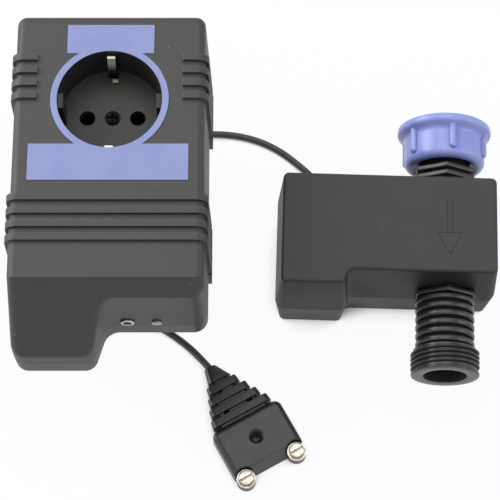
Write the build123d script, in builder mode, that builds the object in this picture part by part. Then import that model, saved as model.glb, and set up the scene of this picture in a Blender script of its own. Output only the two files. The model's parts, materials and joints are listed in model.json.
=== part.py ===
# Water leak detector: a plug-through mains unit, a floor probe and a shut-off valve on two cables.
# Millimetres, +Z up. The origin is on the resting surface, on the common axis of plug and socket.
# +Y runs up along the unit's front and the camera side of the set is -Y.
import os
from math import atan2, cos, pi, radians, sin, tan

from build123d import *

os.makedirs("parts", exist_ok=True)

# Plug and socket
pin_pitch = 19.0
pin_dia = 4.8
pin_length = 19.0
pin_tip = 1.2
pin_shank_dia = 4.0
plug_dia = 36.8
plug_height = 17.0
plug_edge = 0.8
plug_flange_width = 2.6
plug_flange = 2.0
plug_key_width = 6.4
plug_key_depth = 1.6
earth_width = 6.0
earth_sheet = 1.0
earth_slot_clear = 0.1
earth_strip_start = 4.0
well_dia = 38.8
well_depth = 17.5
cup_wall = 2.3
cup_floor = 2.5
pin_hole_dia = 5.8
guide_width = 6.0
guide_gap = 34.4
guide_drop = 1.5
contact_dia = 6.8
contact_bore = 4.9
contact_slot = 0.8
contact_seat = 2.0
contact_slot_start = 5.0
clip_width = 3.0
clip_gap = 1.3
clip_bow = 1.7
clip_flare = 0.5
clip_straight = 2.0
clip_waist = 8.5
clip_drop = 2.5
clip_slot_clear = 0.3
bridge_width = 8.0
bridge_length = 28.0

# Housing of the mains unit, measured at its parting line
unit_width = 72.0
unit_top = 35.2
unit_foot = 90.4
unit_recess = 75.35
foot_inner_x = -6.2
recess_inner_x = -1.6
housing_depth = 47.5
rear_depth = 11.5
wall = 2.5
front_draft = 1.5
rear_draft = 1.0
bend_y = -69.25
slope_run = 21.2
slope_low = 6.9
top_corner = 4.5
recess_corner = 6.0
end_corner = 5.6
foot_corner = 5.0
front_edge = 3.0
back_edge = 1.5

# Ribs round the housing
rib_width = 2.6
rib_proud = 1.4
rib_pitch = 5.15
rib_count = 4
upper_rib_first = 16.6
lower_rib_first = -38.9
rib_gap_width = 53.4
rib_back_gap = 0.8

# Label
label_thick = 0.3
label_ring_width = 2.35
top_label_width = 32.2
top_label_low = 18.4
top_label_high = 30.05
bottom_label_width = 58.4
bottom_label_low = -32.2
bottom_label_high = -18.0

# Fastenings of the mains unit
post_dia = 7.0
screw_dia = 2.8
screw_head_dia = 5.4
screw_head = 2.0
screw_reach = 10.0
screw_room = 1.0
screw_clear = 0.05
screw_head_clear = 0.3
slot_width = 0.8
slot_share = 0.8
slot_deep = 0.8
cross_width = 0.7
post_inset = 7.5
post_top_inset = 7.7
post_low_inset = 7.35
post_foot_inset = 7.9
centre_head_dia = 4.8
pillar_dia = 9.0
pillar_clear = 0.4

# Circuit board and what stands on it
board_thick = 1.6
board_gap = 4.5
board_half_width = 24.5
board_top_y = 21.0
board_low_y = -70.0
board_boss_dia = 5.0
board_boss_places = [(-21.0, 17.5), (21.0, 17.5), (21.0, -50.0), (-21.0, -66.0)]
board_screw_dia = 2.0
board_screw_head = 1.2
board_screw_end = 0.5
transformer_size = (30.0, 26.0, 24.0)
transformer_place = (-7.0, -46.0)
core_length_share = 0.55
bobbin_width_share = 0.62
bobbin_height_share = 0.8
relay_size = (12.0, 18.0, 15.5)
relay_place = (17.5, -33.0)
relay_edge = 1.0
capacitor_dia = 9.0
capacitor_height = 14.0
capacitor_place = (-18.5, -25.5)
capacitor_edge = 0.6
buzzer_dia = 12.0
buzzer_height = 9.0
buzzer_place = (-17.5, 6.5)
buzzer_hole = 2.0
buzzer_hole_deep = 1.5
terminal_size = (9.0, 12.0, 9.5)
terminal_place = (-18.5, -10.5)
terminal_pitch = 3.8
terminal_screw_dia = 2.8
terminal_screw_deep = 2.0
fuse_dia = 5.2
fuse_length = 20.0
fuse_place = (19.5, 3.0)
fuse_lift = 4.0
fuse_clip_wall = 0.8
fuse_clip_length = 3.0
fuse_clip_inset = 3.0
chip_size = (8.0, 12.0, 2.2)
chip_place = (16.5, -15.0)

# Indicator and reset button in the recess wall
port_z = 50.7
led_x = 6.3
led_dia = 3.0
led_length = 7.0
led_leg = 0.6
led_leg_pitch = 1.6
led_round = 1.4
bezel_dia = 5.4
bezel_shank_dia = 4.4
bezel_bore = 3.3
ring_flange = 0.7
button_x = 17.2
button_dia = 2.4
button_ring_dia = 3.7
button_shank_dia = 3.3
button_clear = 0.05
button_proud = 0.25
button_collar_dia = 4.4
button_collar = 1.0
button_travel = 0.8
button_stem = 7.2
button_edge = 0.3
switch_size = (6.0, 4.0, 8.5)
switch_gap = 0.3

# Cables
cable_dia = 2.8
grommet_dia = 5.8
grommet_flange_dia = 8.4
grommet_flange = 1.2
grommet_drop = 6.0
grommet_lip = 0.6
coil_inner_dia = 27.4
coil_columns = 2
coil_layers = 6
sensor_coil_x = -19.0
sensor_coil_y = -42.0
valve_coil_x = -6.6
valve_coil_y = 44.0
sensor_exit_inset = 14.0
sensor_exit_y = -24.1
valve_exit_inset = 11.5
valve_exit_y = -12.0

# Probe
probe_x = 54.0
probe_y = -107.8
probe_turn = 29.0
probe_width = 29.8
probe_back = 9.6
probe_end = 11.8
probe_bevel = 2.4
probe_thick = 8.5
probe_side_round = 2.4
probe_hole_dia = 3.6
probe_sink_dia = 5.8
probe_corner = 3.0
contact_half_pitch = 11.1
contact_out = 12.1
contact_step = 4.5
contact_washer_dia = 7.4
contact_washer = 1.2
contact_head_dia = 5.8
contact_head = 1.7
contact_head_edge = 0.5
contact_head_slot = 0.9
contact_shank_dia = 3.0
contact_pocket = 0.4
boot_first = 10.7
boot_pitch = 4.2
boot_ring = 3.0
boot_widths = [25.3, 21.5, 17.5, 13.5]
boot_heights = [8.0, 7.5, 7.0, 6.6]
boot_drifts = [-0.2, -0.6, -0.9, -1.2]
boot_groove = 1.6
boot_tip_start = 27.4
boot_tip_end = 33.6
boot_tip_width = 9.8
boot_tip_height = 6.4
boot_taper = 8.0
probe_sink = 1.2
boot_nose_dia = 4.8
boot_nose_drift = -2.1
boot_window = 2.2
boot_window_share = 0.2
boot_window_shift = 0.6
boot_ring_round = 0.3
boot_tip_round = 0.4

# Valve box, in the valve's own directions: across, along the flow and up
valve_x = 125.75
valve_y = -88.5
valve_turn = -1.82
port_lift = 0.5
box_left = -65.4
box_right = 19.8
box_back = 74.7
box_front = 32.4
box_step_x = -37.5
box_step_flat = 0.1
box_height = 47.0
box_parting = 19.5
box_wall = 2.0
cover_draft = 3.95
base_draft = 5.5
box_face_corner = 2.1
box_step_face_corner = 1.4
box_step_inner = 2.2
cover_edge = 1.2
base_edge = 1.2
box_post_dia = 6.0
box_post_left = 6.4
box_post_right = 5.6
box_post_back = 6.2
box_post_front = 6.1
box_screw_dia = 2.6
box_head_dia = 5.0
box_head = 1.8
arrow_line = 0.35
arrow_depth = 0.15
arrow_width = 2.3
arrow_span = 10.0
arrow_head = 9.3
arrow_tip = 40.7
arrow_shaft = 13.0
saddle_inset = 1.0

# Ports of the valve
thread_dia = 26.44
thread_length = 10.6
thread_edge = 0.6
outlet_bore = 16.2
neck_dia = 19.6
neck_ring_dia = 22.7
neck_ring = 1.8
neck_ring_edge = 0.4
neck_ring_first = 12.2
neck_ring_pitch = 3.4
neck_ring_count = 6
hex_corner_dia = 26.0
front_hex = 1.8
tube_dia = 20.6
tube_clear = 0.2
hex_plate = 2.0
hex_plate_places = [78.4, 81.6]
hex_groove_dia = 19.2
nipple_dia = 18.8
nipple_end = 91.0
nipple_flange_dia = 22.6
nipple_flange = 2.8
inlet_bore = 14.0
chamber_at = 54.0
chamber_dia = 33.0
chamber_ring_outer = 27.0
chamber_ring_inner = 19.0
chamber_depth = 7.0
chamber_face = 15.0
chamber_back = 6.0
chamber_seat_clear = 0.05
inlet_end = 63.5
seat_drop = 2.0
seat_bore = 10.0
outlet_bore_end = 40.0
cross_bore = 4.8

# Union nut, its washer and strainer
nut_start = 85.0
nut_length = 17.0
nut_skirt_dia = 31.7
nut_flange_dia = 37.1
nut_flange = 4.0
nut_thread_bore = 24.2
nut_neck_bore = 19.4
nut_seat_bore = 23.4
nut_shoulder = 2.9
nut_rib_width = 3.2
nut_rib_proud = 1.5
nut_rib_count = 6
nut_rib_turn = -7.0
nut_rib_start = 2.8
nut_skirt_round = 2.4
nut_lip_round = 0.8
nut_flange_round = 1.2
washer_dia = 22.8
washer_bore = 16.0
washer_thick = 2.0
strainer_rim_dia = 15.8
strainer_rim = 1.0
strainer_dia = 13.2
strainer_wall = 0.8
strainer_length = 11.0

# Solenoid
diaphragm_dia = 32.6
diaphragm_thick = 1.4
diaphragm_pad_dia = 14.0
bonnet_thick = 3.0
bonnet_recess_dia = 24.0
bonnet_recess = 1.5
armature_dia = 12.0
armature_end = 47.0
plunger_bore = 8.6
plunger_dia = 8.4
plunger_start = 19.5
plunger_end = 36.0
plunger_tip_dia = 3.0
plunger_tip_gap = 0.2
plunger_hole_dia = 5.2
plunger_hole = 8.0
spring_dia = 4.2
spring_wire = 0.7
spring_turns = 6
spring_clear = 0.05
bonnet_end = 2.0
winding_dia = 33.0
winding_start = 20.5
winding_end = 44.5
bobbin_flange = 1.5
bobbin_lip = 1.0
yoke_sheet = 1.0
yoke_width = 24.0
yoke_gap = 0.3
yoke_low = -9.0
junction_size = (9.0, 14.0, 9.0)
junction_place = (-56.0, 54.0)
gland_x = -49.0
gland_z = 5.5
gland_dia = 6.0
gland_nose_dia = 4.2
gland_out = 78.0
gland_in = 70.0
gland_lip = 0.4
gland_collar = 4.0

# Levels and places that follow from the sizes above
back_z = pin_length + plug_height
parting_z = back_z + rear_depth
front_z = back_z + housing_depth
floor_z = front_z - well_depth
cup_under_z = floor_z - cup_floor
plate_z = back_z + wall
board_z = plate_z + board_gap
board_face_z = board_z + board_thick
bridge_z = cup_under_z - earth_sheet
front_depth = housing_depth - rear_depth
slope_drop = front_depth - slope_low
rib_half = unit_width / 2 + rib_proud
front_rib_half = rib_half - (front_depth + rib_proud) * tan(radians(front_draft))
rib_corner = front_edge + rib_proud
coil_width = coil_columns * cable_dia
coil_outer_dia = coil_inner_dia + 2 * coil_width
coil_height = coil_layers * cable_dia
coil_lead_radius = coil_outer_dia / 2 - cable_dia / 2
cable_z = cable_dia / 2
plug_flange_dia = plug_dia + 2 * plug_flange_width
label_ring_dia = well_dia + 2 * label_ring_width
clip_outer = well_dia / 2 - clip_gap
clip_inner = clip_outer - earth_sheet
clip_middle = (clip_outer + clip_inner) / 2
coil_top_z = coil_height - cable_dia / 2
grommet_end_z = back_z - grommet_drop
sensor_exit = (unit_width / 2 - sensor_exit_inset, sensor_exit_y)
valve_exit = (valve_exit_inset - unit_width / 2, valve_exit_y)
post_x = unit_width / 2 - post_inset
post_places = [
    (-post_x, unit_top - post_top_inset),
    (post_x, unit_top - post_top_inset),
    (post_x, post_low_inset - unit_recess),
    (-post_x, post_foot_inset - unit_foot),
]
wall_y = -unit_recess
slope_tilt = atan2(slope_drop, slope_run)
slope_along = Vector(0, -cos(slope_tilt), -sin(slope_tilt))
slope_out = Vector(0, -sin(slope_tilt), cos(slope_tilt))

hex_front = box_front - front_hex
cover_run = (box_height - box_parting) * tan(radians(cover_draft))
base_run = box_parting * tan(radians(base_draft))
box_corner = box_face_corner + max(cover_run, base_run)
box_step_corner = box_step_face_corner + max(cover_run, base_run)
box_step_front = box_front - box_step_corner - box_step_inner - box_step_flat
box_post_places = [
    (box_left + box_post_left, box_back - box_post_back),
    (box_right - box_post_right, box_back - box_post_back),
    (box_right - box_post_right, box_front + box_post_front),
    (box_left + box_post_left, box_step_front + box_post_front),
]
port_height = box_height / 2 + port_lift
nut_seat_end = nipple_end + washer_thick

# The probe's and the valve's own directions
probe_across = Vector(cos(radians(probe_turn)), sin(radians(probe_turn)), 0)
probe_along = Vector(-sin(radians(probe_turn)), cos(radians(probe_turn)), 0)
probe_origin = Vector(probe_x, probe_y, 0)
probe_plan = Plane(origin=probe_origin, x_dir=probe_across, z_dir=(0, 0, 1))
across = Vector(cos(radians(valve_turn)), sin(radians(valve_turn)), 0)
flow = Vector(-sin(radians(valve_turn)), cos(radians(valve_turn)), 0)
valve_origin = Vector(valve_x, valve_y, port_height)
valve_plan = Plane(origin=(valve_x, valve_y, 0), x_dir=across, z_dir=(0, 0, 1))
port = Plane(origin=valve_origin, x_dir=-across, z_dir=flow)
side = Plane(origin=valve_origin + flow * chamber_at, x_dir=-flow, z_dir=-across)


def unit_plan(grow):
    """The housing's outline at its parting line, with the foot at the lower left."""
    half = unit_width / 2
    corners = [
        (half, unit_top),
        (-half, unit_top),
        (-half, -unit_foot),
        (foot_inner_x, -unit_foot),
        (recess_inner_x, -unit_recess),
        (half, -unit_recess),
    ]
    radii = [top_corner, top_corner, foot_corner, foot_corner, recess_corner, end_corner]
    with BuildSketch() as plan:
        with BuildLine():
            FilletPolyline(*corners, radius=radii, close=True)
        make_face()
        if grow:
            offset(amount=grow)
    return plan.sketch


def unit_block(grow):
    """The front half as a solid block, grown outwards by a distance, with its sloping lower end."""
    start = Vector(0, bend_y, front_z) + slope_out * grow
    reach = 2 * unit_foot
    ends = [start - slope_along * reach, start + slope_along * reach]
    beyond = [ends[1] + slope_out * reach, ends[0] + slope_out * reach]
    with BuildPart() as block:
        with BuildSketch(Plane.XY.offset(parting_z)):
            add(unit_plan(grow))
        extrude(amount=front_depth + grow, taper=front_draft)
        with BuildSketch(Plane.YZ):
            with BuildLine():
                Polyline(*[(corner.Y, corner.Z) for corner in ends + beyond], close=True)
            make_face()
        extrude(amount=unit_width, both=True, mode=Mode.SUBTRACT)
    return block.part


def front_edges(block):
    """The edges round the front face and the slope, without the bend between them."""
    top = block.faces().sort_by(Axis.Z)[-1]
    slope = block.faces().filter_by(GeomType.PLANE).sort_by(lambda face: face.normal_at().dot(slope_out))[-1]
    bend = [edge for edge in slope.edges() if abs(edge.center().Z - top.center().Z) < 0.01]
    both = top.edges() + slope.edges()
    return [edge for edge in both if all((edge.center() - other.center()).length > 0.01 for other in bend)]


def rib_bar(center_y, low_z, high_z, low_half, high_half, corner):
    """One rib as a solid bar across the housing, with its two front corners rounded."""
    with BuildPart() as bar:
        with BuildSketch(Plane.XZ.offset(-center_y)) as profile:
            with BuildLine():
                Polyline(
                    (-low_half, low_z),
                    (low_half, low_z),
                    (high_half, high_z),
                    (-high_half, high_z),
                    close=True,
                )
            make_face()
            if corner:
                fillet(profile.vertices().group_by(Axis.Z)[-1], corner)
        extrude(amount=rib_width / 2, both=True)
    return bar.part


# Front housing with the socket cup, the ribs and the screw posts
with BuildPart() as cavity:
    add(unit_block(-wall))

with BuildPart() as front_ribs:
    for first in (upper_rib_first, lower_rib_first):
        for n in range(rib_count):
            add(rib_bar(first - n * rib_pitch, parting_z, front_z + rib_proud, rib_half, front_rib_half, rib_corner))
    with BuildSketch(Plane.XY.offset(parting_z)):
        with Locations((0, upper_rib_first - rib_pitch * (rib_count - 1) / 2)):
            Rectangle(rib_gap_width, rib_pitch * (rib_count + 1))
    extrude(amount=housing_depth, mode=Mode.SUBTRACT)

with BuildPart() as front_posts:
    add(unit_block(0))
    with BuildSketch(Plane.XY.offset(parting_z)):
        with Locations(*post_places):
            Circle(post_dia / 2)
    extrude(amount=housing_depth, mode=Mode.INTERSECT)
    with BuildSketch(Plane.XY.offset(parting_z)):
        with Locations(*post_places):
            Circle(screw_dia / 2 + screw_clear)
    extrude(amount=screw_reach + screw_room, mode=Mode.SUBTRACT)

with BuildPart() as front_housing:
    add(unit_block(0))
    fillet(front_edges(front_housing.part), front_edge)
    add(front_ribs.part)
    add(cavity.part, mode=Mode.SUBTRACT)
    add(front_posts.part)
    with BuildSketch(Plane.XY.offset(cup_under_z)):
        Circle(well_dia / 2 + cup_wall)
    extrude(amount=front_z - cup_under_z)
    with BuildSketch(Plane.XY.offset(floor_z)):
        Circle(well_dia / 2)
    extrude(amount=2 * well_depth, mode=Mode.SUBTRACT)
    # Guides at both sides of the well
    with BuildSketch(Plane.XY.offset(floor_z)):
        Circle(well_dia / 2 + cup_wall / 2)
        Rectangle(2 * well_dia, guide_width, mode=Mode.INTERSECT)
        Rectangle(guide_gap, guide_width, mode=Mode.SUBTRACT)
    extrude(amount=well_depth - guide_drop)
    # Holes in the floor of the well: two pins, one screw and two slots for the earth clips
    with BuildSketch(Plane.XY.offset(cup_under_z)):
        with Locations((-pin_pitch / 2, 0), (pin_pitch / 2, 0)):
            Circle(pin_hole_dia / 2)
        Circle(screw_dia / 2 + screw_clear)
        with Locations((0, clip_middle), (0, -clip_middle)):
            Rectangle(clip_width + 2 * clip_slot_clear, earth_sheet + 2 * clip_slot_clear)
    extrude(amount=cup_floor, mode=Mode.SUBTRACT)
    with BuildSketch(Plane.XY.offset(floor_z)):
        Circle(pin_hole_dia / 2)
    extrude(amount=-cup_floor / 2, mode=Mode.SUBTRACT)
    # Holes for the indicator and the button
    with BuildSketch(Plane.XZ.offset(-wall_y)):
        with Locations((led_x, port_z)):
            Circle(bezel_shank_dia / 2 + screw_clear)
        with Locations((button_x, port_z)):
            Circle(button_shank_dia / 2 + screw_clear)
    extrude(amount=2 * wall, both=True, mode=Mode.SUBTRACT)
front_housing.part.label = "front_housing"
export_step(front_housing.part, "parts/front_housing.step")

# Rear housing: a tray with the opening for the plug
rear_rib_drop = rear_depth - rib_back_gap
back_rib_half = rib_half - rear_rib_drop * tan(radians(rear_draft))
with BuildPart() as rear_ribs:
    for first in (upper_rib_first, lower_rib_first):
        for n in range(rib_count):
            add(rib_bar(first - n * rib_pitch, parting_z, parting_z - rear_rib_drop, rib_half, back_rib_half, 0))

with BuildPart() as rear_housing:
    with BuildSketch(Plane.XY.offset(parting_z)):
        add(unit_plan(0))
    extrude(amount=-rear_depth, taper=rear_draft)
    fillet(rear_housing.faces().sort_by(Axis.Z)[0].edges(), back_edge)
    add(rear_ribs.part)
    with BuildSketch(Plane.XY.offset(plate_z)):
        add(unit_plan(-wall))
    extrude(amount=rear_depth, mode=Mode.SUBTRACT)
    with BuildSketch(Plane.XY.offset(back_z)):
        with Locations(*post_places):
            Circle(post_dia / 2)
    extrude(amount=rear_depth)
    with BuildSketch(Plane.XY.offset(plate_z)):
        with Locations(*board_boss_places):
            Circle(board_boss_dia / 2)
    extrude(amount=board_gap)
    with BuildSketch(Plane.XY.offset(back_z)):
        Circle(plug_dia / 2 + screw_clear)
        with Locations(sensor_exit, valve_exit):
            Circle(grommet_dia / 2 + screw_clear)
        with Locations(*post_places):
            Circle(screw_dia / 2 + screw_clear)
    extrude(amount=rear_depth, mode=Mode.SUBTRACT)
    with BuildSketch(Plane.XY.offset(back_z)):
        with Locations(*post_places):
            Circle(screw_head_dia / 2 + screw_head_clear)
    extrude(amount=rear_depth / 2, mode=Mode.SUBTRACT)
    with BuildSketch(Plane.XY.offset(plate_z)):
        with Locations(*board_boss_places):
            Circle(board_screw_dia / 2 + screw_clear)
    extrude(amount=board_gap, mode=Mode.SUBTRACT)
rear_housing.part.label = "rear_housing"
export_step(rear_housing.part, "parts/rear_housing.step")

with BuildPart() as housing_screws:
    for place in post_places:
        with Locations((place[0], place[1], back_z + rear_depth / 2)):
            Cylinder(screw_dia / 2, rear_depth / 2 + screw_reach, align=(Align.CENTER, Align.CENTER, Align.MIN))
            Cylinder(screw_head_dia / 2, screw_head, align=(Align.CENTER, Align.CENTER, Align.MAX))
        with Locations((place[0], place[1], back_z + rear_depth / 2 - screw_head)):
            Box(screw_head_dia * slot_share, slot_width, 2 * slot_deep, mode=Mode.SUBTRACT)
housing_screws.part.label = "housing_screws"
export_step(housing_screws.part, "parts/housing_screws.step")

# Plug insert: round body with side keys, held by its flange, and a pillar for the socket's centre screw
with BuildPart() as plug_body:
    with BuildSketch(Plane.XY.offset(pin_length)):
        Circle(plug_dia / 2)
    extrude(amount=plate_z - pin_length)
    chamfer(plug_body.faces().sort_by(Axis.Z)[0].edges(), plug_edge)
    with BuildSketch(Plane.XY.offset(plate_z)):
        Circle(plug_flange_dia / 2)
        with Locations(sensor_exit, valve_exit):
            Circle(grommet_flange_dia / 2 + screw_head_clear, mode=Mode.SUBTRACT)
        with Locations(*board_boss_places):
            Circle(board_boss_dia / 2 + screw_head_clear, mode=Mode.SUBTRACT)
    extrude(amount=plug_flange)
    with BuildSketch(Plane.XY.offset(plate_z)):
        Circle(pillar_dia / 2)
    extrude(amount=bridge_z - plate_z)
    with BuildSketch(Plane.XY.offset(pin_length)):
        with Locations((-plug_dia / 2, 0), (plug_dia / 2, 0)):
            Rectangle(2 * plug_key_depth, plug_key_width)
    extrude(amount=plug_height, mode=Mode.SUBTRACT)
    with BuildSketch(Plane.XY.offset(pin_length)):
        with Locations((0, -plug_dia / 2), (0, plug_dia / 2)):
            Rectangle(earth_width + 2 * earth_slot_clear, 4 * earth_sheet)
    extrude(amount=plate_z + plug_flange - pin_length, mode=Mode.SUBTRACT)
    with BuildSketch(Plane.XY.offset(pin_length)):
        with Locations((-pin_pitch / 2, 0), (pin_pitch / 2, 0)):
            Circle(pin_shank_dia / 2 + screw_clear)
    extrude(amount=plug_height + wall + plug_flange, mode=Mode.SUBTRACT)
    with BuildSketch(Plane.XY.offset(bridge_z)):
        Circle(screw_dia / 2 + screw_clear)
    extrude(amount=-screw_reach - screw_room, mode=Mode.SUBTRACT)
plug_body.part.label = "plug_body"
export_step(plug_body.part, "parts/plug_body.step")

for pin_name, pin_side in (("plug_pin_left", -1), ("plug_pin_right", 1)):
    with BuildPart() as plug_pin:
        with Locations((pin_side * pin_pitch / 2, 0, 0)):
            Cylinder(pin_dia / 2, pin_length, align=(Align.CENTER, Align.CENTER, Align.MIN))
        chamfer(plug_pin.faces().sort_by(Axis.Z)[0].edges(), pin_tip)
        with Locations((pin_side * pin_pitch / 2, 0, pin_length)):
            Cylinder(pin_shank_dia / 2, board_z - pin_length, align=(Align.CENTER, Align.CENTER, Align.MIN))
    plug_pin.part.label = pin_name
    export_step(plug_pin.part, f"parts/{pin_name}.step")

with BuildPart() as plug_earth_strips:
    for earth_side in (-1, 1):
        with Locations((0, earth_side * (plug_dia / 2 - 1.5 * earth_sheet), pin_length + earth_strip_start)):
            strip_length = board_z - pin_length - earth_strip_start
            Box(earth_width, earth_sheet, strip_length, align=(Align.CENTER, Align.CENTER, Align.MIN))
plug_earth_strips.part.label = "plug_earth_strips"
export_step(plug_earth_strips.part, "parts/plug_earth_strips.step")

# Sprung sleeves that take the pins of the plug above
for contact_name, contact_side in (("contact_left", -1), ("contact_right", 1)):
    with BuildPart() as contact:
        with Locations((contact_side * pin_pitch / 2, 0, board_face_z)):
            Cylinder(contact_dia / 2, cup_under_z - board_face_z, align=(Align.CENTER, Align.CENTER, Align.MIN))
        with Locations((contact_side * pin_pitch / 2, 0, board_face_z + contact_seat)):
            Cylinder(contact_bore / 2, well_depth, align=(Align.CENTER, Align.CENTER, Align.MIN), mode=Mode.SUBTRACT)
        with Locations((contact_side * pin_pitch / 2, 0, board_face_z + contact_slot_start)):
            Box(
                2 * contact_dia,
                contact_slot,
                well_depth,
                align=(Align.CENTER, Align.CENTER, Align.MIN),
                mode=Mode.SUBTRACT,
            )
    contact.part.label = contact_name
    export_step(contact.part, f"parts/{contact_name}.step")

# Earth strip: a bridge under the cup with a bowed clip up each side of the well
with BuildPart() as earth_strip:
    with BuildSketch(Plane.XY.offset(bridge_z)):
        Rectangle(bridge_width, bridge_length)
        Rectangle(clip_width, 2 * clip_outer)
        Circle(screw_dia / 2 + screw_clear, mode=Mode.SUBTRACT)
    extrude(amount=earth_sheet)
    for clip_side in (-1, 1):
        with BuildSketch(Plane.YZ):
            with BuildLine():
                Polyline(
                    (clip_side * clip_inner, bridge_z),
                    (clip_side * clip_inner, floor_z + clip_straight),
                    (clip_side * (clip_inner - clip_bow), floor_z + clip_waist),
                    (clip_side * (clip_inner + clip_flare), front_z - clip_drop),
                    (clip_side * (clip_outer + clip_flare), front_z - clip_drop),
                    (clip_side * (clip_outer - clip_bow), floor_z + clip_waist),
                    (clip_side * clip_outer, floor_z + clip_straight),
                    (clip_side * clip_outer, bridge_z),
                    close=True,
                )
            make_face()
        extrude(amount=clip_width / 2, both=True)
earth_strip.part.label = "earth_strip"
export_step(earth_strip.part, "parts/earth_strip.step")

with BuildPart() as socket_screw:
    with Locations((0, 0, floor_z - cup_floor / 2)):
        Cylinder(centre_head_dia / 2, screw_head, align=(Align.CENTER, Align.CENTER, Align.MIN))
        Cylinder(screw_dia / 2, screw_reach + cup_floor, align=(Align.CENTER, Align.CENTER, Align.MAX))
    with Locations((0, 0, floor_z - cup_floor / 2 + screw_head)):
        Box(centre_head_dia * slot_share, cross_width, 2 * slot_deep, mode=Mode.SUBTRACT)
        Box(cross_width, centre_head_dia * slot_share, 2 * slot_deep, mode=Mode.SUBTRACT)
socket_screw.part.label = "socket_screw"
export_step(socket_screw.part, "parts/socket_screw.step")

# Label on the front face: two fields joined by the ring round the socket
with BuildPart() as front_label:
    with BuildSketch(Plane.XY.offset(front_z)):
        Circle(label_ring_dia / 2)
        with Locations((0, (top_label_low + top_label_high) / 2)):
            Rectangle(top_label_width, top_label_high - top_label_low)
        with Locations((0, (bottom_label_low + bottom_label_high) / 2)):
            Rectangle(bottom_label_width, bottom_label_high - bottom_label_low)
        Circle(well_dia / 2, mode=Mode.SUBTRACT)
    extrude(amount=label_thick)
front_label.part.label = "front_label"
export_step(front_label.part, "parts/front_label.step")

# Circuit board on its four bosses
with BuildPart() as circuit_board:
    with BuildSketch(Plane.XY.offset(board_z)):
        with Locations((0, (board_top_y + board_low_y) / 2)):
            Rectangle(2 * board_half_width, board_top_y - board_low_y)
        Circle(pillar_dia / 2 + pillar_clear, mode=Mode.SUBTRACT)
        with Locations(*board_boss_places):
            Circle(board_screw_dia / 2 + screw_clear, mode=Mode.SUBTRACT)
    extrude(amount=board_thick)
circuit_board.part.label = "circuit_board"
export_step(circuit_board.part, "parts/circuit_board.step")

with BuildPart() as board_screws:
    for place in board_boss_places:
        with Locations((place[0], place[1], board_face_z)):
            Cylinder(board_screw_dia, board_screw_head, align=(Align.CENTER, Align.CENTER, Align.MIN))
            screw_length = board_thick + board_gap - board_screw_end
            Cylinder(board_screw_dia / 2, screw_length, align=(Align.CENTER, Align.CENTER, Align.MAX))
board_screws.part.label = "board_screws"
export_step(board_screws.part, "parts/board_screws.step")

with BuildPart() as transformer:
    width, length, height = transformer_size
    with Locations((transformer_place[0], transformer_place[1], board_face_z)):
        Box(width, length * core_length_share, height, align=(Align.CENTER, Align.CENTER, Align.MIN))
        Box(
            width * bobbin_width_share,
            length,
            height * bobbin_height_share,
            align=(Align.CENTER, Align.CENTER, Align.MIN),
        )
transformer.part.label = "transformer"
export_step(transformer.part, "parts/transformer.step")

with BuildPart() as relay:
    with Locations((relay_place[0], relay_place[1], board_face_z)):
        Box(*relay_size, align=(Align.CENTER, Align.CENTER, Align.MIN))
    fillet(relay.edges().filter_by(Axis.Z), relay_edge)
relay.part.label = "relay"
export_step(relay.part, "parts/relay.step")

with BuildPart() as capacitor:
    with Locations((capacitor_place[0], capacitor_place[1], board_face_z)):
        Cylinder(capacitor_dia / 2, capacitor_height, align=(Align.CENTER, Align.CENTER, Align.MIN))
    fillet(capacitor.faces().sort_by(Axis.Z)[-1].edges(), capacitor_edge)
capacitor.part.label = "capacitor"
export_step(capacitor.part, "parts/capacitor.step")

with BuildPart() as buzzer:
    with Locations((buzzer_place[0], buzzer_place[1], board_face_z)):
        Cylinder(buzzer_dia / 2, buzzer_height, align=(Align.CENTER, Align.CENTER, Align.MIN))
    with Locations((buzzer_place[0], buzzer_place[1], board_face_z + buzzer_height)):
        Cylinder(buzzer_hole / 2, 2 * buzzer_hole_deep, mode=Mode.SUBTRACT)
buzzer.part.label = "buzzer"
export_step(buzzer.part, "parts/buzzer.step")

with BuildPart() as terminal_block:
    with Locations((terminal_place[0], terminal_place[1], board_face_z)):
        Box(*terminal_size, align=(Align.CENTER, Align.CENTER, Align.MIN))
    for n in (-1, 0, 1):
        with Locations((terminal_place[0], terminal_place[1] + n * terminal_pitch, board_face_z + terminal_size[2])):
            Cylinder(terminal_screw_dia / 2, 2 * terminal_screw_deep, mode=Mode.SUBTRACT)
terminal_block.part.label = "terminal_block"
export_step(terminal_block.part, "parts/terminal_block.step")

with BuildPart() as fuse:
    with Locations(Location((fuse_place[0], fuse_place[1], board_face_z + fuse_lift), (90, 0, 0))):
        Cylinder(fuse_dia / 2, fuse_length)
fuse.part.label = "fuse"
export_step(fuse.part, "parts/fuse.step")

with BuildPart() as fuse_clips:
    for n in (-1, 1):
        with Locations((fuse_place[0], fuse_place[1] + n * (fuse_length / 2 - fuse_clip_inset), board_face_z)):
            Box(
                fuse_dia + 2 * fuse_clip_wall,
                fuse_clip_length,
                fuse_lift,
                align=(Align.CENTER, Align.CENTER, Align.MIN),
            )
    with Locations(Location((fuse_place[0], fuse_place[1], board_face_z + fuse_lift), (90, 0, 0))):
        Cylinder(fuse_dia / 2 + screw_clear, fuse_length, mode=Mode.SUBTRACT)
fuse_clips.part.label = "fuse_clips"
export_step(fuse_clips.part, "parts/fuse_clips.step")

with BuildPart() as controller:
    with Locations((chip_place[0], chip_place[1], board_face_z)):
        Box(*chip_size, align=(Align.CENTER, Align.CENTER, Align.MIN))
controller.part.label = "controller"
export_step(controller.part, "parts/controller.step")

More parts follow.
